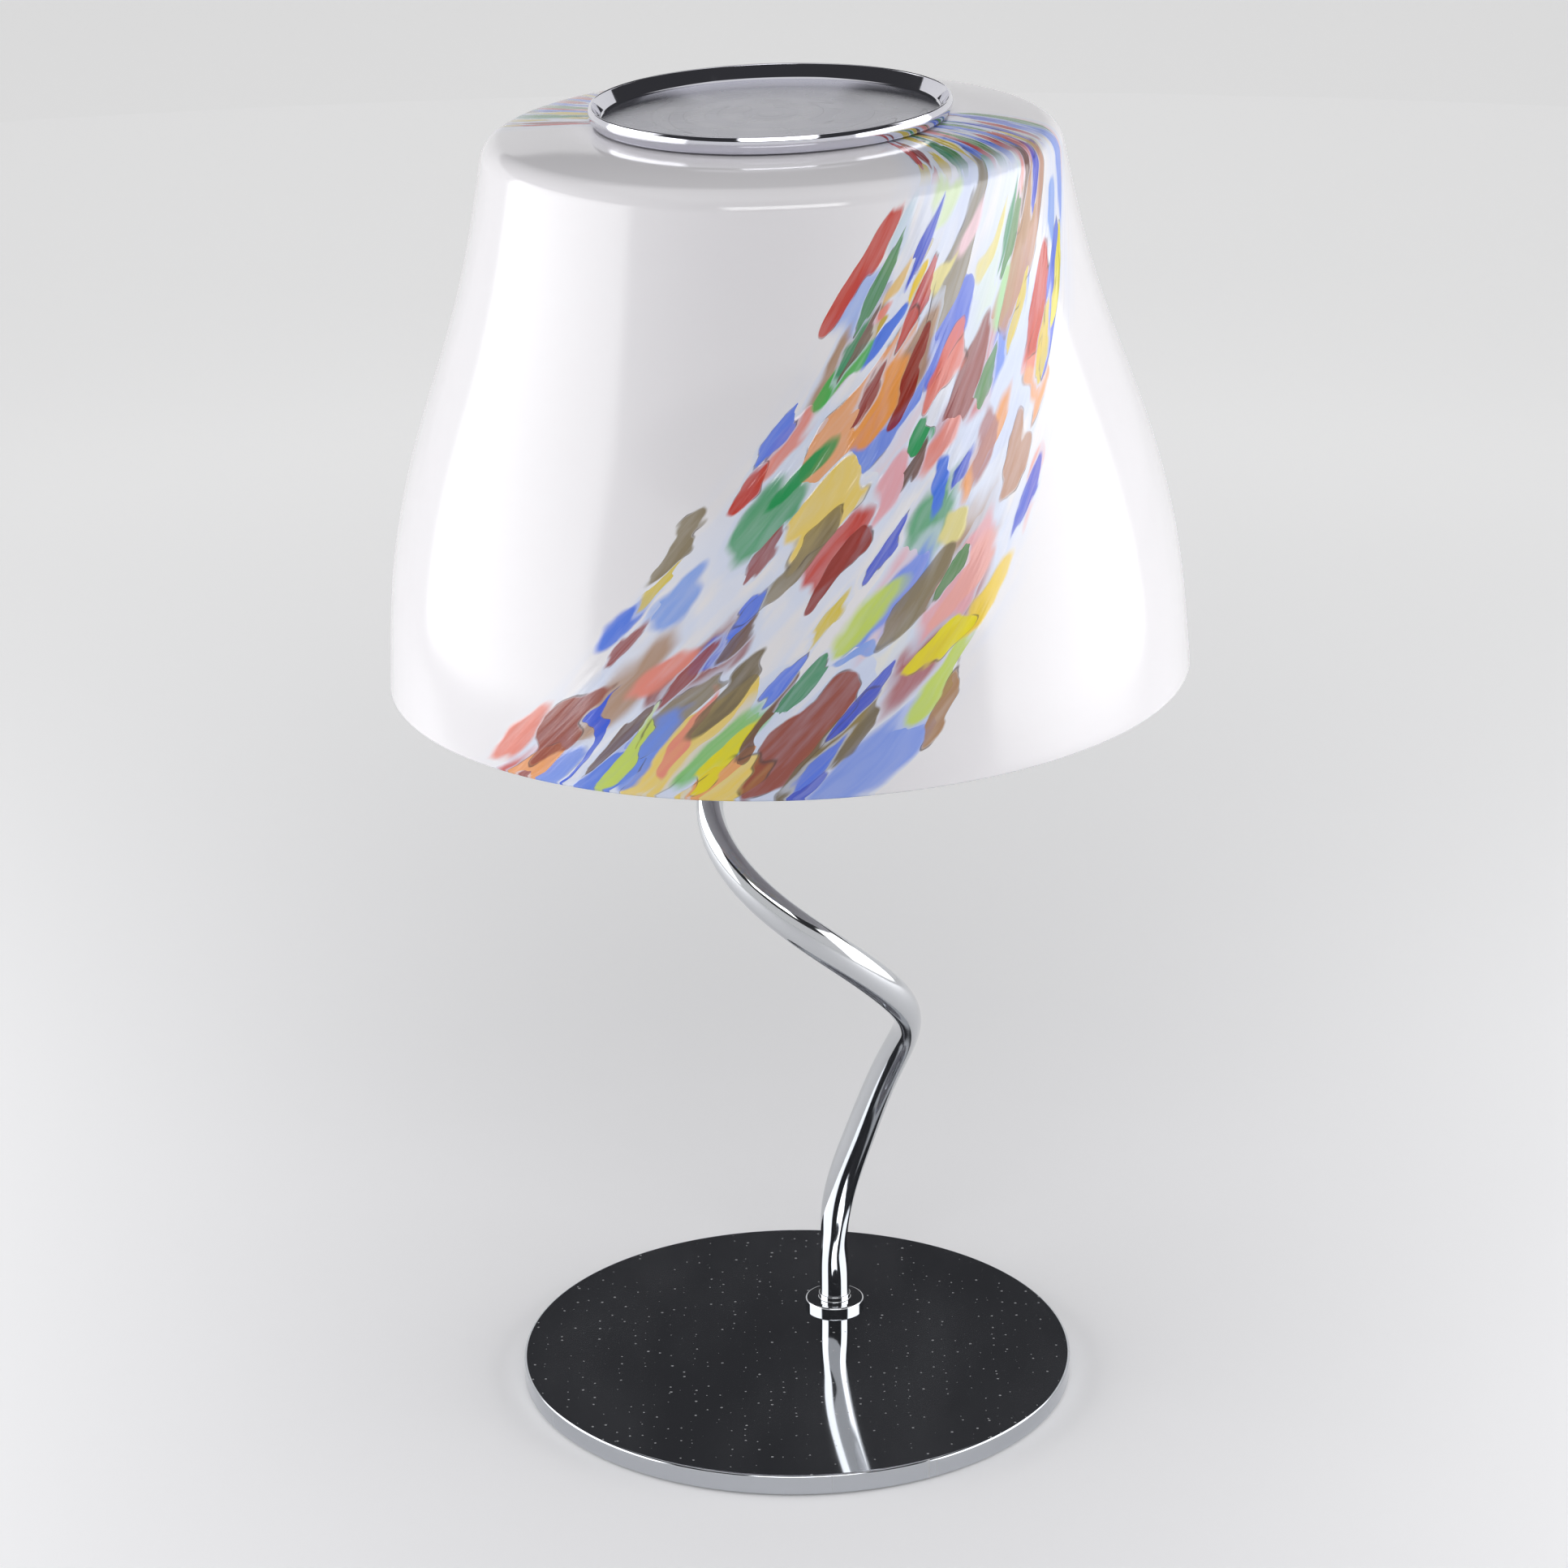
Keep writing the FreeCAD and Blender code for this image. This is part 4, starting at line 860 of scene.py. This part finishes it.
def stem_knots(stem):
    """The knots of the stem's centre line, from the plate to the harp."""
    low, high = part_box("foot_collar")
    foot = Vector(((low.x + high.x) / 2, (low.y + high.y) / 2, node_top("base_plate")))
    head = HEAD @ Vector((0.0, 0.0, STEM_HEAD_HEIGHT * MM))
    knots = [foot, foot + UP * stem.end_straight]
    for climb, reach, bearing in STEM_STATION_SHARES:
        angle = math.radians(bearing)
        x = WINDING_CENTRE[0] + reach * WINDING_RADIUS * math.cos(angle)
        y = WINDING_CENTRE[1] + reach * WINDING_RADIUS * math.sin(angle)
        knots.append(Vector((x * MM, y * MM, foot.z + climb * (head.z - foot.z))))
    return knots + [head - HEAD_AXIS * stem.end_straight, head]


def oval_at(direction, share, stem):
    """Flattens a round ring where the tube is bent: wide upwards, narrow sideways."""
    wide = UP - direction * UP.dot(direction)
    if wide.length < 1e-3 or share <= 0:
        return Matrix.Identity(4)
    wide.normalize()
    narrow = direction.cross(wide)
    up_scale = 1 + share * (stem.wide_radius / stem.tube_radius - 1)
    side_scale = 1 + share * (stem.narrow_radius / stem.tube_radius - 1)
    return Matrix.Scale(up_scale, 4, wide) @ Matrix.Scale(side_scale, 4, narrow)


def stem_tube(stem, material):
    """The bent tube: one ring, extruded along the route and flattened a little where it bends."""
    points, runs = spline(stem_knots(stem), stem.ring_gap)
    ways = [(b - a).normalized() for a, b in zip(points, points[1:])]
    directions = [UP] + [(a + b).normalized() for a, b in zip(ways, ways[1:])] + [HEAD_AXIS]
    tube = bmesh.new()
    bmesh.ops.create_circle(tube, cap_ends=False, radius=stem.tube_radius, segments=stem.ring_sides)
    turn = Matrix.Identity(4)
    last_way = UP
    last_place = Matrix.Identity(4)
    edges = tube.edges[:]
    for i, (point, way, run) in enumerate(zip(points, directions, runs)):
        turn = last_way.rotation_difference(way).to_matrix().to_4x4() @ turn
        last_way = way
        from_end = min(run, runs[-1] - run)
        share = min(1.0, max(0.0, from_end / stem.end_straight - 1.0) / 2)
        share = share * share * (3 - 2 * share)
        place = Matrix.Translation(point) @ oval_at(way, share, stem) @ turn
        if i > 0:
            made = bmesh.ops.extrude_edge_only(tube, edges=edges)["geom"]
            edges = [item for item in made if isinstance(item, bmesh.types.BMEdge)]
        verts = list({vert for edge in edges for vert in edge.verts})
        bmesh.ops.transform(tube, matrix=place @ last_place.inverted(), verts=verts)
        last_place = place
        if i > 0:
            edges = [edge for edge in edges if all(vert in verts for vert in edge.verts)]
    bmesh.ops.recalc_face_normals(tube, faces=tube.faces)
    piece = add_piece("stem", tube, material, "stand", ["stem_tube"], even=False)
    wall = piece.modifiers.new("wall", "SOLIDIFY")
    wall.thickness = stem.wall
    wall.offset = -1.0
    return piece


# The felt between glass and dish, squeezed
FELT_THICKNESS = 0.8
# The shade's wall, as in the CAD model: height above the rim, outer radius
SHADE_STATIONS = [
    (0.0, 153.5),
    (17.0, 152.4),
    (33.0, 151.2),
    (55.0, 148.2),
    (77.0, 143.4),
    (99.0, 137.0),
    (121.0, 129.3),
    (143.0, 121.9),
    (165.0, 115.8),
]


def crown_height(shade, radius):
    """The height of the shade's top at a radius: flat in the middle, then falling as an arc."""
    span = shade.shoulder_radius - shade.seat_radius
    bend = (span ** 2 + shade.crown_rise ** 2) / (2 * shade.crown_rise)
    past = max(0.0, radius - shade.seat_radius)
    return shade.height - bend + math.sqrt(bend ** 2 - past ** 2)


def shade_line(shade, inset):
    """Points up the wall, over the shoulder and in to the hole, set inwards by an inset."""
    corner = Vector((shade.shoulder_radius - inset, crown_height(shade, shade.shoulder_radius) - inset))
    wall = [Vector((radius * MM - inset, height * MM)) for height, radius in SHADE_STATIONS]
    upward = (corner - wall[-1]).normalized()
    low = corner - upward * shade.shoulder_run
    crown_radius = shade.shoulder_radius - shade.shoulder_run
    high = Vector((crown_radius - inset, crown_height(shade, crown_radius) - inset))
    points = [point.to_2d() for point in spline([knot.to_3d() for knot in wall + [low]], 4 * MM)[0]]
    rise = crown_height(shade, crown_radius - MM) - crown_height(shade, crown_radius)
    outward = Vector((MM, -rise)).normalized()
    pull = 0.6 * shade.shoulder_run
    points += interpolate_bezier(low, low + upward * pull, high + outward * pull, high, 12)[1:]
    steps = 12
    for i in range(1, steps + 1):
        radius = crown_radius + (shade.seat_radius - crown_radius) * i / steps
        points.append(Vector((radius - inset, crown_height(shade, radius) - inset)))
    points.append(Vector((shade.hole_radius, shade.height - inset)))
    return [point.to_2d() for point in points]


def band_line():
    """The runs up the glass, and the angles of the band's middle there."""
    knots = [Vector((run * MM, math.radians(angle) * BAND_RADIUS * MM, 0.0)) for run, angle in BAND_STATIONS]
    line, _ = spline(knots, 2 * MM)
    return [point.x for point in line], [point.y / (BAND_RADIUS * MM) for point in line]


def drawn_run(run):
    """The run as the chips feel it: slower towards the crown, where the glass was drawn out."""
    start, end = (limit * MM for limit in DRAW_RUNS)
    if run <= start:
        return DRAW_LOW * run
    share = min(1.0, (run - start) / (end - start))
    mean = DRAW_LOW + (DRAW_HIGH - DRAW_LOW) * share / 2
    done = DRAW_LOW * start + mean * (min(run, end) - start)
    return done + DRAW_HIGH * max(0.0, run - end)


def lay_band(bm, run_layer):
    """Writes the band's coordinates: the distance across from its middle, and the drawn run along it.

    The glass has two such bands, half a turn apart, the second mirrored. Each face takes the nearer one."""
    uv = bm.loops.layers.uv.new("band")
    runs, angles = band_line()
    middles = {}
    for vert in bm.verts:
        run = vert[run_layer]
        if run not in middles:
            middles[run] = float(np.interp(run, runs, angles))
    for face in bm.faces:
        centre = face.calc_center_median()
        face_angle = math.atan2(centre.x, -centre.y)
        middle = sum(middles[vert[run_layer]] for vert in face.verts) / len(face.verts)
        lobe = round((face_angle - middle) / math.pi)
        for loop in face.loops:
            run = loop.vert[run_layer]
            angle = math.atan2(loop.vert.co.x, -loop.vert.co.y)
            angle += FULL_TURN * round((face_angle - angle) / FULL_TURN)
            across = (angle - middles[run] - lobe * math.pi) * (-1) ** lobe
            loop[uv].uv = (across * BAND_RADIUS * MM, drawn_run(run))


def glass_shade(shade, material):
    """The blown shade: its outline spun round, with the band's coordinates laid over it."""
    outer = shade_line(shade, 0.0)
    inner = shade_line(shade, shade.wall)
    loop = outer + inner[::-1]
    bm = bmesh.new()
    run_layer = bm.verts.layers.float.new("run")
    outside_layer = bm.verts.layers.float.new("outside")
    runs = [0.0]
    for a, b in zip(outer, outer[1:]):
        runs.append(runs[-1] + (b - a).length)
    verts = []
    for i, point in enumerate(loop):
        vert = bm.verts.new((point.x, 0.0, point.y))
        is_outer = i < len(outer)
        vert[outside_layer] = 1.0 if is_outer else 0.0
        vert[run_layer] = runs[i] if is_outer else runs[len(loop) - 1 - i]
        verts.append(vert)
    for a, b in zip(verts, verts[1:] + verts[:1]):
        bm.edges.new((a, b))
    for vert in (verts[0], verts[-1]):
        bmesh.ops.bevel(bm, geom=[vert], offset=shade.rim_round, offset_type="OFFSET", segments=5,
                        profile=0.5, affect="VERTICES", material=-1)
    spin(bm, shade.steps)
    lay_band(bm, run_layer)
    bmesh.ops.transform(bm, matrix=HEAD, verts=bm.verts)
    return add_piece("shade_glass", bm, material, "shade", ["glass_shade"])


def dish(pan, shade, material):
    """The spun pan: a faintly hollow floor, a splayed inner wall, a rolled lip and a barrel-shaped side."""
    bottom = shade.height + FELT_THICKNESS * MM
    floor = bottom + pan.floor_thickness
    lip_radius = pan.lip / 2
    shoulder = bottom + pan.height - lip_radius
    lip_out = pan.radius - pan.lip_inset
    lip_in = lip_out - pan.lip
    floor_radius = lip_in - pan.wall_run
    points = []
    steps = 14
    flat_radius = floor_radius - pan.wall_bend
    for i in range(steps):
        radius = flat_radius * i / steps
        points.append(Vector((radius, floor + pan.hollow * (radius / flat_radius) ** 2)))
    corner = Vector((floor_radius, floor + pan.hollow))
    bend_start = Vector((flat_radius, corner.y))
    wall_top = Vector((lip_in, shoulder))
    bend_end = corner + (wall_top - corner).normalized() * pan.wall_bend
    points += interpolate_bezier(bend_start, bend_start.lerp(corner, 0.6), bend_end.lerp(corner, 0.6),
                                 bend_end, 9)
    points.append(wall_top)
    lip_middle = Vector((lip_out - lip_radius, shoulder))
    for i in range(1, 8):
        angle = math.pi * (1 - i / 8)
        points.append(lip_middle + Vector((math.cos(angle), math.sin(angle))) * lip_radius)
    top = Vector((lip_out, shoulder))
    foot = Vector((pan.radius - pan.foot_inset, bottom))
    belly = Vector((2 * pan.radius - (top.x + foot.x) / 2, bottom + pan.height / 2))
    points += interpolate_bezier(top, top.lerp(belly, 2 / 3), foot.lerp(belly, 2 / 3), foot, 12)
    corners = [tuple(point) for point in points] + [(0.0, bottom)]
    bm = outline(corners, closed=False)
    spin(bm, DISH_STEPS)
    bmesh.ops.transform(bm, matrix=HEAD, verts=bm.verts)
    return add_piece("dish_pan", bm, material, "dish", ["dish"])


# Operators: one for each piece or group of like pieces

class LAMP_OT_foot(bpy.types.Operator):
    """Models the foot plate and the collar, and finishes the pad and the bush"""
    bl_idname = "lamp.foot"
    bl_label = "Foot"

    def execute(self, context):
        foot, stem, colours = sizes("lamp_foot"), sizes("lamp_stem"), sizes("lamp_colours")
        base_plate(foot, mirror_plate(colours))
        foot_collar(foot, stem, chrome_tube(colours))
        finish_node("base_pad", pressed_felt("pressed wool felt, black", "#17171A", "#3A3A3E"))
        finish_node("cable_bush", moulded("moulded rubber, black", "#1B1B1C", 0.6, 0.6 * MM, 0.02 * MM,
                                          {"IOR": 1.52}))
        return {"FINISHED"}


class LAMP_OT_stem(bpy.types.Operator):
    """Models the looped tube"""
    bl_idname = "lamp.stem"
    bl_label = "Stem"

    def execute(self, context):
        stem_tube(sizes("lamp_stem"), chrome_tube(sizes("lamp_colours")))
        return {"FINISHED"}


class LAMP_OT_shade(bpy.types.Operator):
    """Models the glass shade with its band of colour chips"""
    bl_idname = "lamp.shade"
    bl_label = "Shade"

    def execute(self, context):
        shade = sizes("lamp_shade")
        glass_shade(shade, opal_glass(sizes("lamp_colours"), shade))
        return {"FINISHED"}


class LAMP_OT_dish(bpy.types.Operator):
    """Models the dish, and finishes the felt under it"""
    bl_idname = "lamp.dish"
    bl_label = "Dish"

    def execute(self, context):
        dish(sizes("lamp_dish"), sizes("lamp_shade"), spun_dish(sizes("lamp_colours")))
        finish_node("felt_ring", pressed_felt("pressed wool felt, grey", "#2B2B2F", "#57575C"))
        return {"FINISHED"}


class LAMP_OT_hardware(bpy.types.Operator):
    """Smooths and finishes the steel harp, the tubes, the nuts and the washers"""
    bl_idname = "lamp.hardware"
    bl_label = "Hardware"

    def execute(self, context):
        steel = plated_steel(sizes("lamp_colours"))
        for node in ("foot_nipple", "foot_washer", "foot_nut", "head_nipple", "harp_saddle", "saddle_washer",
                     "harp_arch", "top_stud", "stud_lower_nut", "stud_washer", "stud_upper_nut", "seat_plate",
                     "dish_boss"):
            smooth_copy(node, steel)
        smooth_copy("harp_rivets", soft_metal("aluminium, cold headed", "#C9CACC", 0.8 * MM, 0.28, 0.42))
        smooth_copy("seat_ring", moulded("silicone rubber, moulded", "#DEDCD6", 0.45, 1.0 * MM, 0.01 * MM,
                                         {"IOR": 1.41, "Subsurface Weight": 0.2}))
        return {"FINISHED"}


class LAMP_OT_holder(bpy.types.Operator):
    """Smooths and finishes the lampholder"""
    bl_idname = "lamp.holder"
    bl_label = "Lampholder"

    def execute(self, context):
        black = moulded("phenolic resin, moulded", "#1A1817", 0.22, 0.5 * MM, 0.006 * MM, {"IOR": 1.55})
        for node in ("lampholder_cap", "lampholder_shell"):
            smooth_copy(node, black)
        smooth_copy("lampholder_block", moulded("steatite, glazed", "#EAE6DC", 0.2, 1.5 * MM, 0.01 * MM,
                                                {"IOR": 1.5}))
        brass = soft_metal("brass, pressed", sizes("lamp_colours").brass, 1.2 * MM, 0.22, 0.34)
        for node in ("terminal_screws", "screw_sleeve", "centre_contact"):
            smooth_copy(node, brass)
        return {"FINISHED"}


class LAMP_OT_bulb(bpy.types.Operator):
    """Smooths and finishes the bulb"""
    bl_idname = "lamp.bulb"
    bl_label = "Bulb"

    def execute(self, context):
        smooth_copy("bulb_glass", moulded("opal glass, coated inside", "#F2F1EC", 0.16, 6.0 * MM, 0.01 * MM,
                                          {"IOR": 1.5, "Subsurface Weight": 0.1}))
        smooth_copy("bulb_cap", soft_metal("aluminium, rolled thread", "#CFCFD0", 1.0 * MM, 0.2, 0.32))
        smooth_copy("bulb_tip", soft_metal("tin solder", "#A9A9A8", 0.7 * MM, 0.35, 0.5))
        smooth_copy("bulb_insulator", moulded("vitrite glass, pressed", "#121216", 0.12, 1.0 * MM, 0.01 * MM,
                                              {"IOR": 1.6}))
        return {"FINISHED"}


def finish_node(node, material):
    """Gives a CAD node that stays a material."""
    mesh = frame["nodes"][node].data
    mesh.materials.clear()
    mesh.materials.append(material)


# Stage

CAMERA_PLACE = Vector((-0.0030, -1.7089, 0.8702))
CAMERA_TILT = 0.3479
CAMERA_ROLL = -0.0101
CAMERA_LENS = 108.0
# Each lamp: name, bearing from the camera's side towards the viewer's right, distance, height, what height it
# faces, width, length, brightness in units where 1 is white
STUDIO_LAMPS = [
    ("softbox_left", -87.0, 1.05, 0.50, 0.50, 1.50, 0.95, 2.8),
    ("softbox_right", 85.0, 1.05, 0.50, 0.50, 1.40, 0.95, 2.8),
    ("fill_front", 4.0, 1.95, 1.65, 0.35, 2.00, 0.60, 6.0),
    ("softbox_top", 180.0, 0.05, 2.10, 0.30, 2.40, 2.40, 0.72),
]
# How far a soft box's light fades towards its edges, as a share of its width and length
LAMP_FADE = 0.12
# How much further out the lamps light the floor in front of the lamp than behind it, as a share
FRONT_LIGHT = 0.5


def stage_material(setup):
    """Matt studio floor: pale, with the faintest unevenness of a painted board, and pale far away too."""
    material, tree, shader = new_material("matt paint on board", {
        "Roughness": 0.85, "Specular IOR Level": 0.2, "Emission Color": "#FFFFFF"})
    place = in_space(tree)
    shades = patches(tree, place, 400 * MM, 0.985, 1.0)
    tone = add(tree, "Mix RGBA", {"Factor": 1.0, 6: setup.floor, 7: shades}, blend_type="MULTIPLY")
    feed(tree, shader, {"Base Color": tone})
    # The lamps' light falls off with the distance, and this makes up for it where it is looked at
    rays = add(tree, "LightPath")
    seen = add(tree, "Math MAXIMUM", rays.outputs["Is Camera Ray"], rays.outputs["Is Glossy Ray"])
    seen = add(tree, "Math MAXIMUM", seen, rays.outputs["Is Transmission Ray"])
    front = add(tree, "VectorMath MINIMUM", place, (0.0, 0.0, 0.0))
    drawn = add(tree, "VectorMath MULTIPLY_ADD", front, (0.0, -FRONT_LIGHT, 0.0), place)
    reach = add(tree, "VectorMath LENGTH", drawn)
    far = add(tree, "MapRange SMOOTHSTEP", reach, 0.0, 1.5, 0.12, 0.68)
    lift = add(tree, "Math MULTIPLY", far, seen)
    feed(tree, shader, {"Emission Strength": lift})
    return material


def area_lamp(name, place, target, width, length, level):
    """A soft box at a place that faces a target. Its power follows from its size and its brightness."""
    light = bpy.data.lights.new(name, "AREA")
    light.shape = "RECTANGLE"
    light.size = width
    light.size_y = length
    light.energy = level * math.pi * width * length
    # The cloth in front of a real soft box is a little darker at its edges
    light.use_nodes = True
    tree = light.node_tree
    spot = add(tree, "NewGeometry").outputs["Parametric"]
    axes = add(tree, "SeparateXYZ", spot)
    shares = []
    for i in (0, 1):
        away = add(tree, "Math SUBTRACT", axes.outputs[i], 0.5)
        away = add(tree, "Math ABSOLUTE", away)
        share = add(tree, "MapRange SMOOTHSTEP", away, 0.5, 0.5 - LAMP_FADE, 0.0, 1.0)
        shares.append(share)
    strength = add(tree, "Math MULTIPLY", shares[0], shares[1])
    feed(tree, tree.nodes["Emission"], {"Strength": strength})
    box = bpy.data.objects.new(name, light)
    bpy.context.scene.collection.objects.link(box)
    facing = (target - place).to_track_quat("-Z", "Y").to_matrix().to_4x4()
    box.matrix_world = Matrix.Translation(place) @ facing


class LAMP_OT_stage(bpy.types.Operator):
    """Builds the pale floor, the studio lamps, the world and the camera"""
    bl_idname = "lamp.stage"
    bl_label = "Stage"

    def execute(self, context):
        setup = sizes("lamp_stage")
        floor = outline([
            (0.0, 0.0),
            (setup.floor_radius, 0.0, setup.floor_cove),
            (setup.floor_radius, setup.floor_edge),
        ], closed=False, segments=12)
        bmesh.ops.spin(floor, geom=floor.verts[:] + floor.edges[:], cent=(0, 0, 0), axis=(0, 0, 1),
                       angle=FULL_TURN, steps=FLOOR_STEPS, use_merge=True)
        bmesh.ops.remove_doubles(floor, verts=floor.verts, dist=1e-5)
        mesh = bpy.data.meshes.new("studio_floor")
        floor.to_mesh(mesh)
        floor.free()
        mesh.shade_smooth()
        mesh.materials.append(stage_material(setup))
        board = bpy.data.objects.new("studio_floor", mesh)
        context.scene.collection.objects.link(board)
        for name, bearing, distance, height, faced, width, length, level in STUDIO_LAMPS:
            angle = math.radians(bearing)
            place = Vector((distance * math.sin(angle), -distance * math.cos(angle), height))
            area_lamp(name, place, Vector((0.0, 0.0, faced)), width, length, level)
        self.make_world(context)
        self.make_camera(context)
        return {"FINISHED"}

    def make_world(self, context):
        world = bpy.data.worlds.new("studio")
        world.use_nodes = True
        background = world.node_tree.nodes["Background"]
        background.inputs["Color"].default_value = linear("#9C9CA2")
        background.inputs["Strength"].default_value = 0.12
        context.scene.world = world

    def make_camera(self, context):
        level_up = Vector((0.0, math.sin(CAMERA_TILT), math.cos(CAMERA_TILT)))
        sideways = Vector((1.0, 0.0, 0.0))
        cosine, sine = math.cos(CAMERA_ROLL), math.sin(CAMERA_ROLL)
        right = sideways * cosine + level_up * sine
        up = level_up * cosine - sideways * sine
        back = right.cross(up)
        lens = bpy.data.cameras.new("photograph_view")
        lens.lens = CAMERA_LENS
        lens.sensor_width = 36.0
        camera = bpy.data.objects.new("photograph_view", lens)
        context.scene.collection.objects.link(camera)
        turn = Matrix((right, up, back)).transposed().to_4x4()
        camera.matrix_world = Matrix.Translation(CAMERA_PLACE) @ turn
        context.scene.camera = camera
        context.scene.view_settings.view_transform = "Standard"


OPERATORS = [LAMP_OT_foot, LAMP_OT_stem, LAMP_OT_hardware, LAMP_OT_holder, LAMP_OT_bulb, LAMP_OT_shade,
             LAMP_OT_dish, LAMP_OT_stage]


class LAMP_PT_panel(bpy.types.Panel):
    """Lists the lamp's pieces in the sidebar"""
    bl_idname = "LAMP_PT_panel"
    bl_label = "Lamp"
    bl_space_type = "VIEW_3D"
    bl_region_type = "UI"
    bl_category = "Lamp"

    def draw(self, context):
        for operator in OPERATORS:
            self.layout.operator(operator.bl_idname)


GROUPS = {
    "lamp_foot": LampFootSizes,
    "lamp_stem": LampStemSizes,
    "lamp_shade": LampShadeSizes,
    "lamp_dish": LampDishSizes,
    "lamp_colours": LampColours,
    "lamp_stage": LampStageSettings,
}


def register():
    for name, group in GROUPS.items():
        bpy.utils.register_class(group)
        setattr(bpy.types.Scene, name, PointerProperty(type=group))
    for operator in OPERATORS:
        bpy.utils.register_class(operator)
    bpy.utils.register_class(LAMP_PT_panel)


def unregister():
    bpy.utils.unregister_class(LAMP_PT_panel)
    for operator in reversed(OPERATORS):
        bpy.utils.unregister_class(operator)
    for name, group in reversed(list(GROUPS.items())):
        delattr(bpy.types.Scene, name)
        bpy.utils.unregister_class(group)


def main():
    register()
    for operator in OPERATORS:
        group, call = operator.bl_idname.split(".")
        getattr(getattr(bpy.ops, group), call)()
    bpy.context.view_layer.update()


if __name__ == "__main__":
    main()
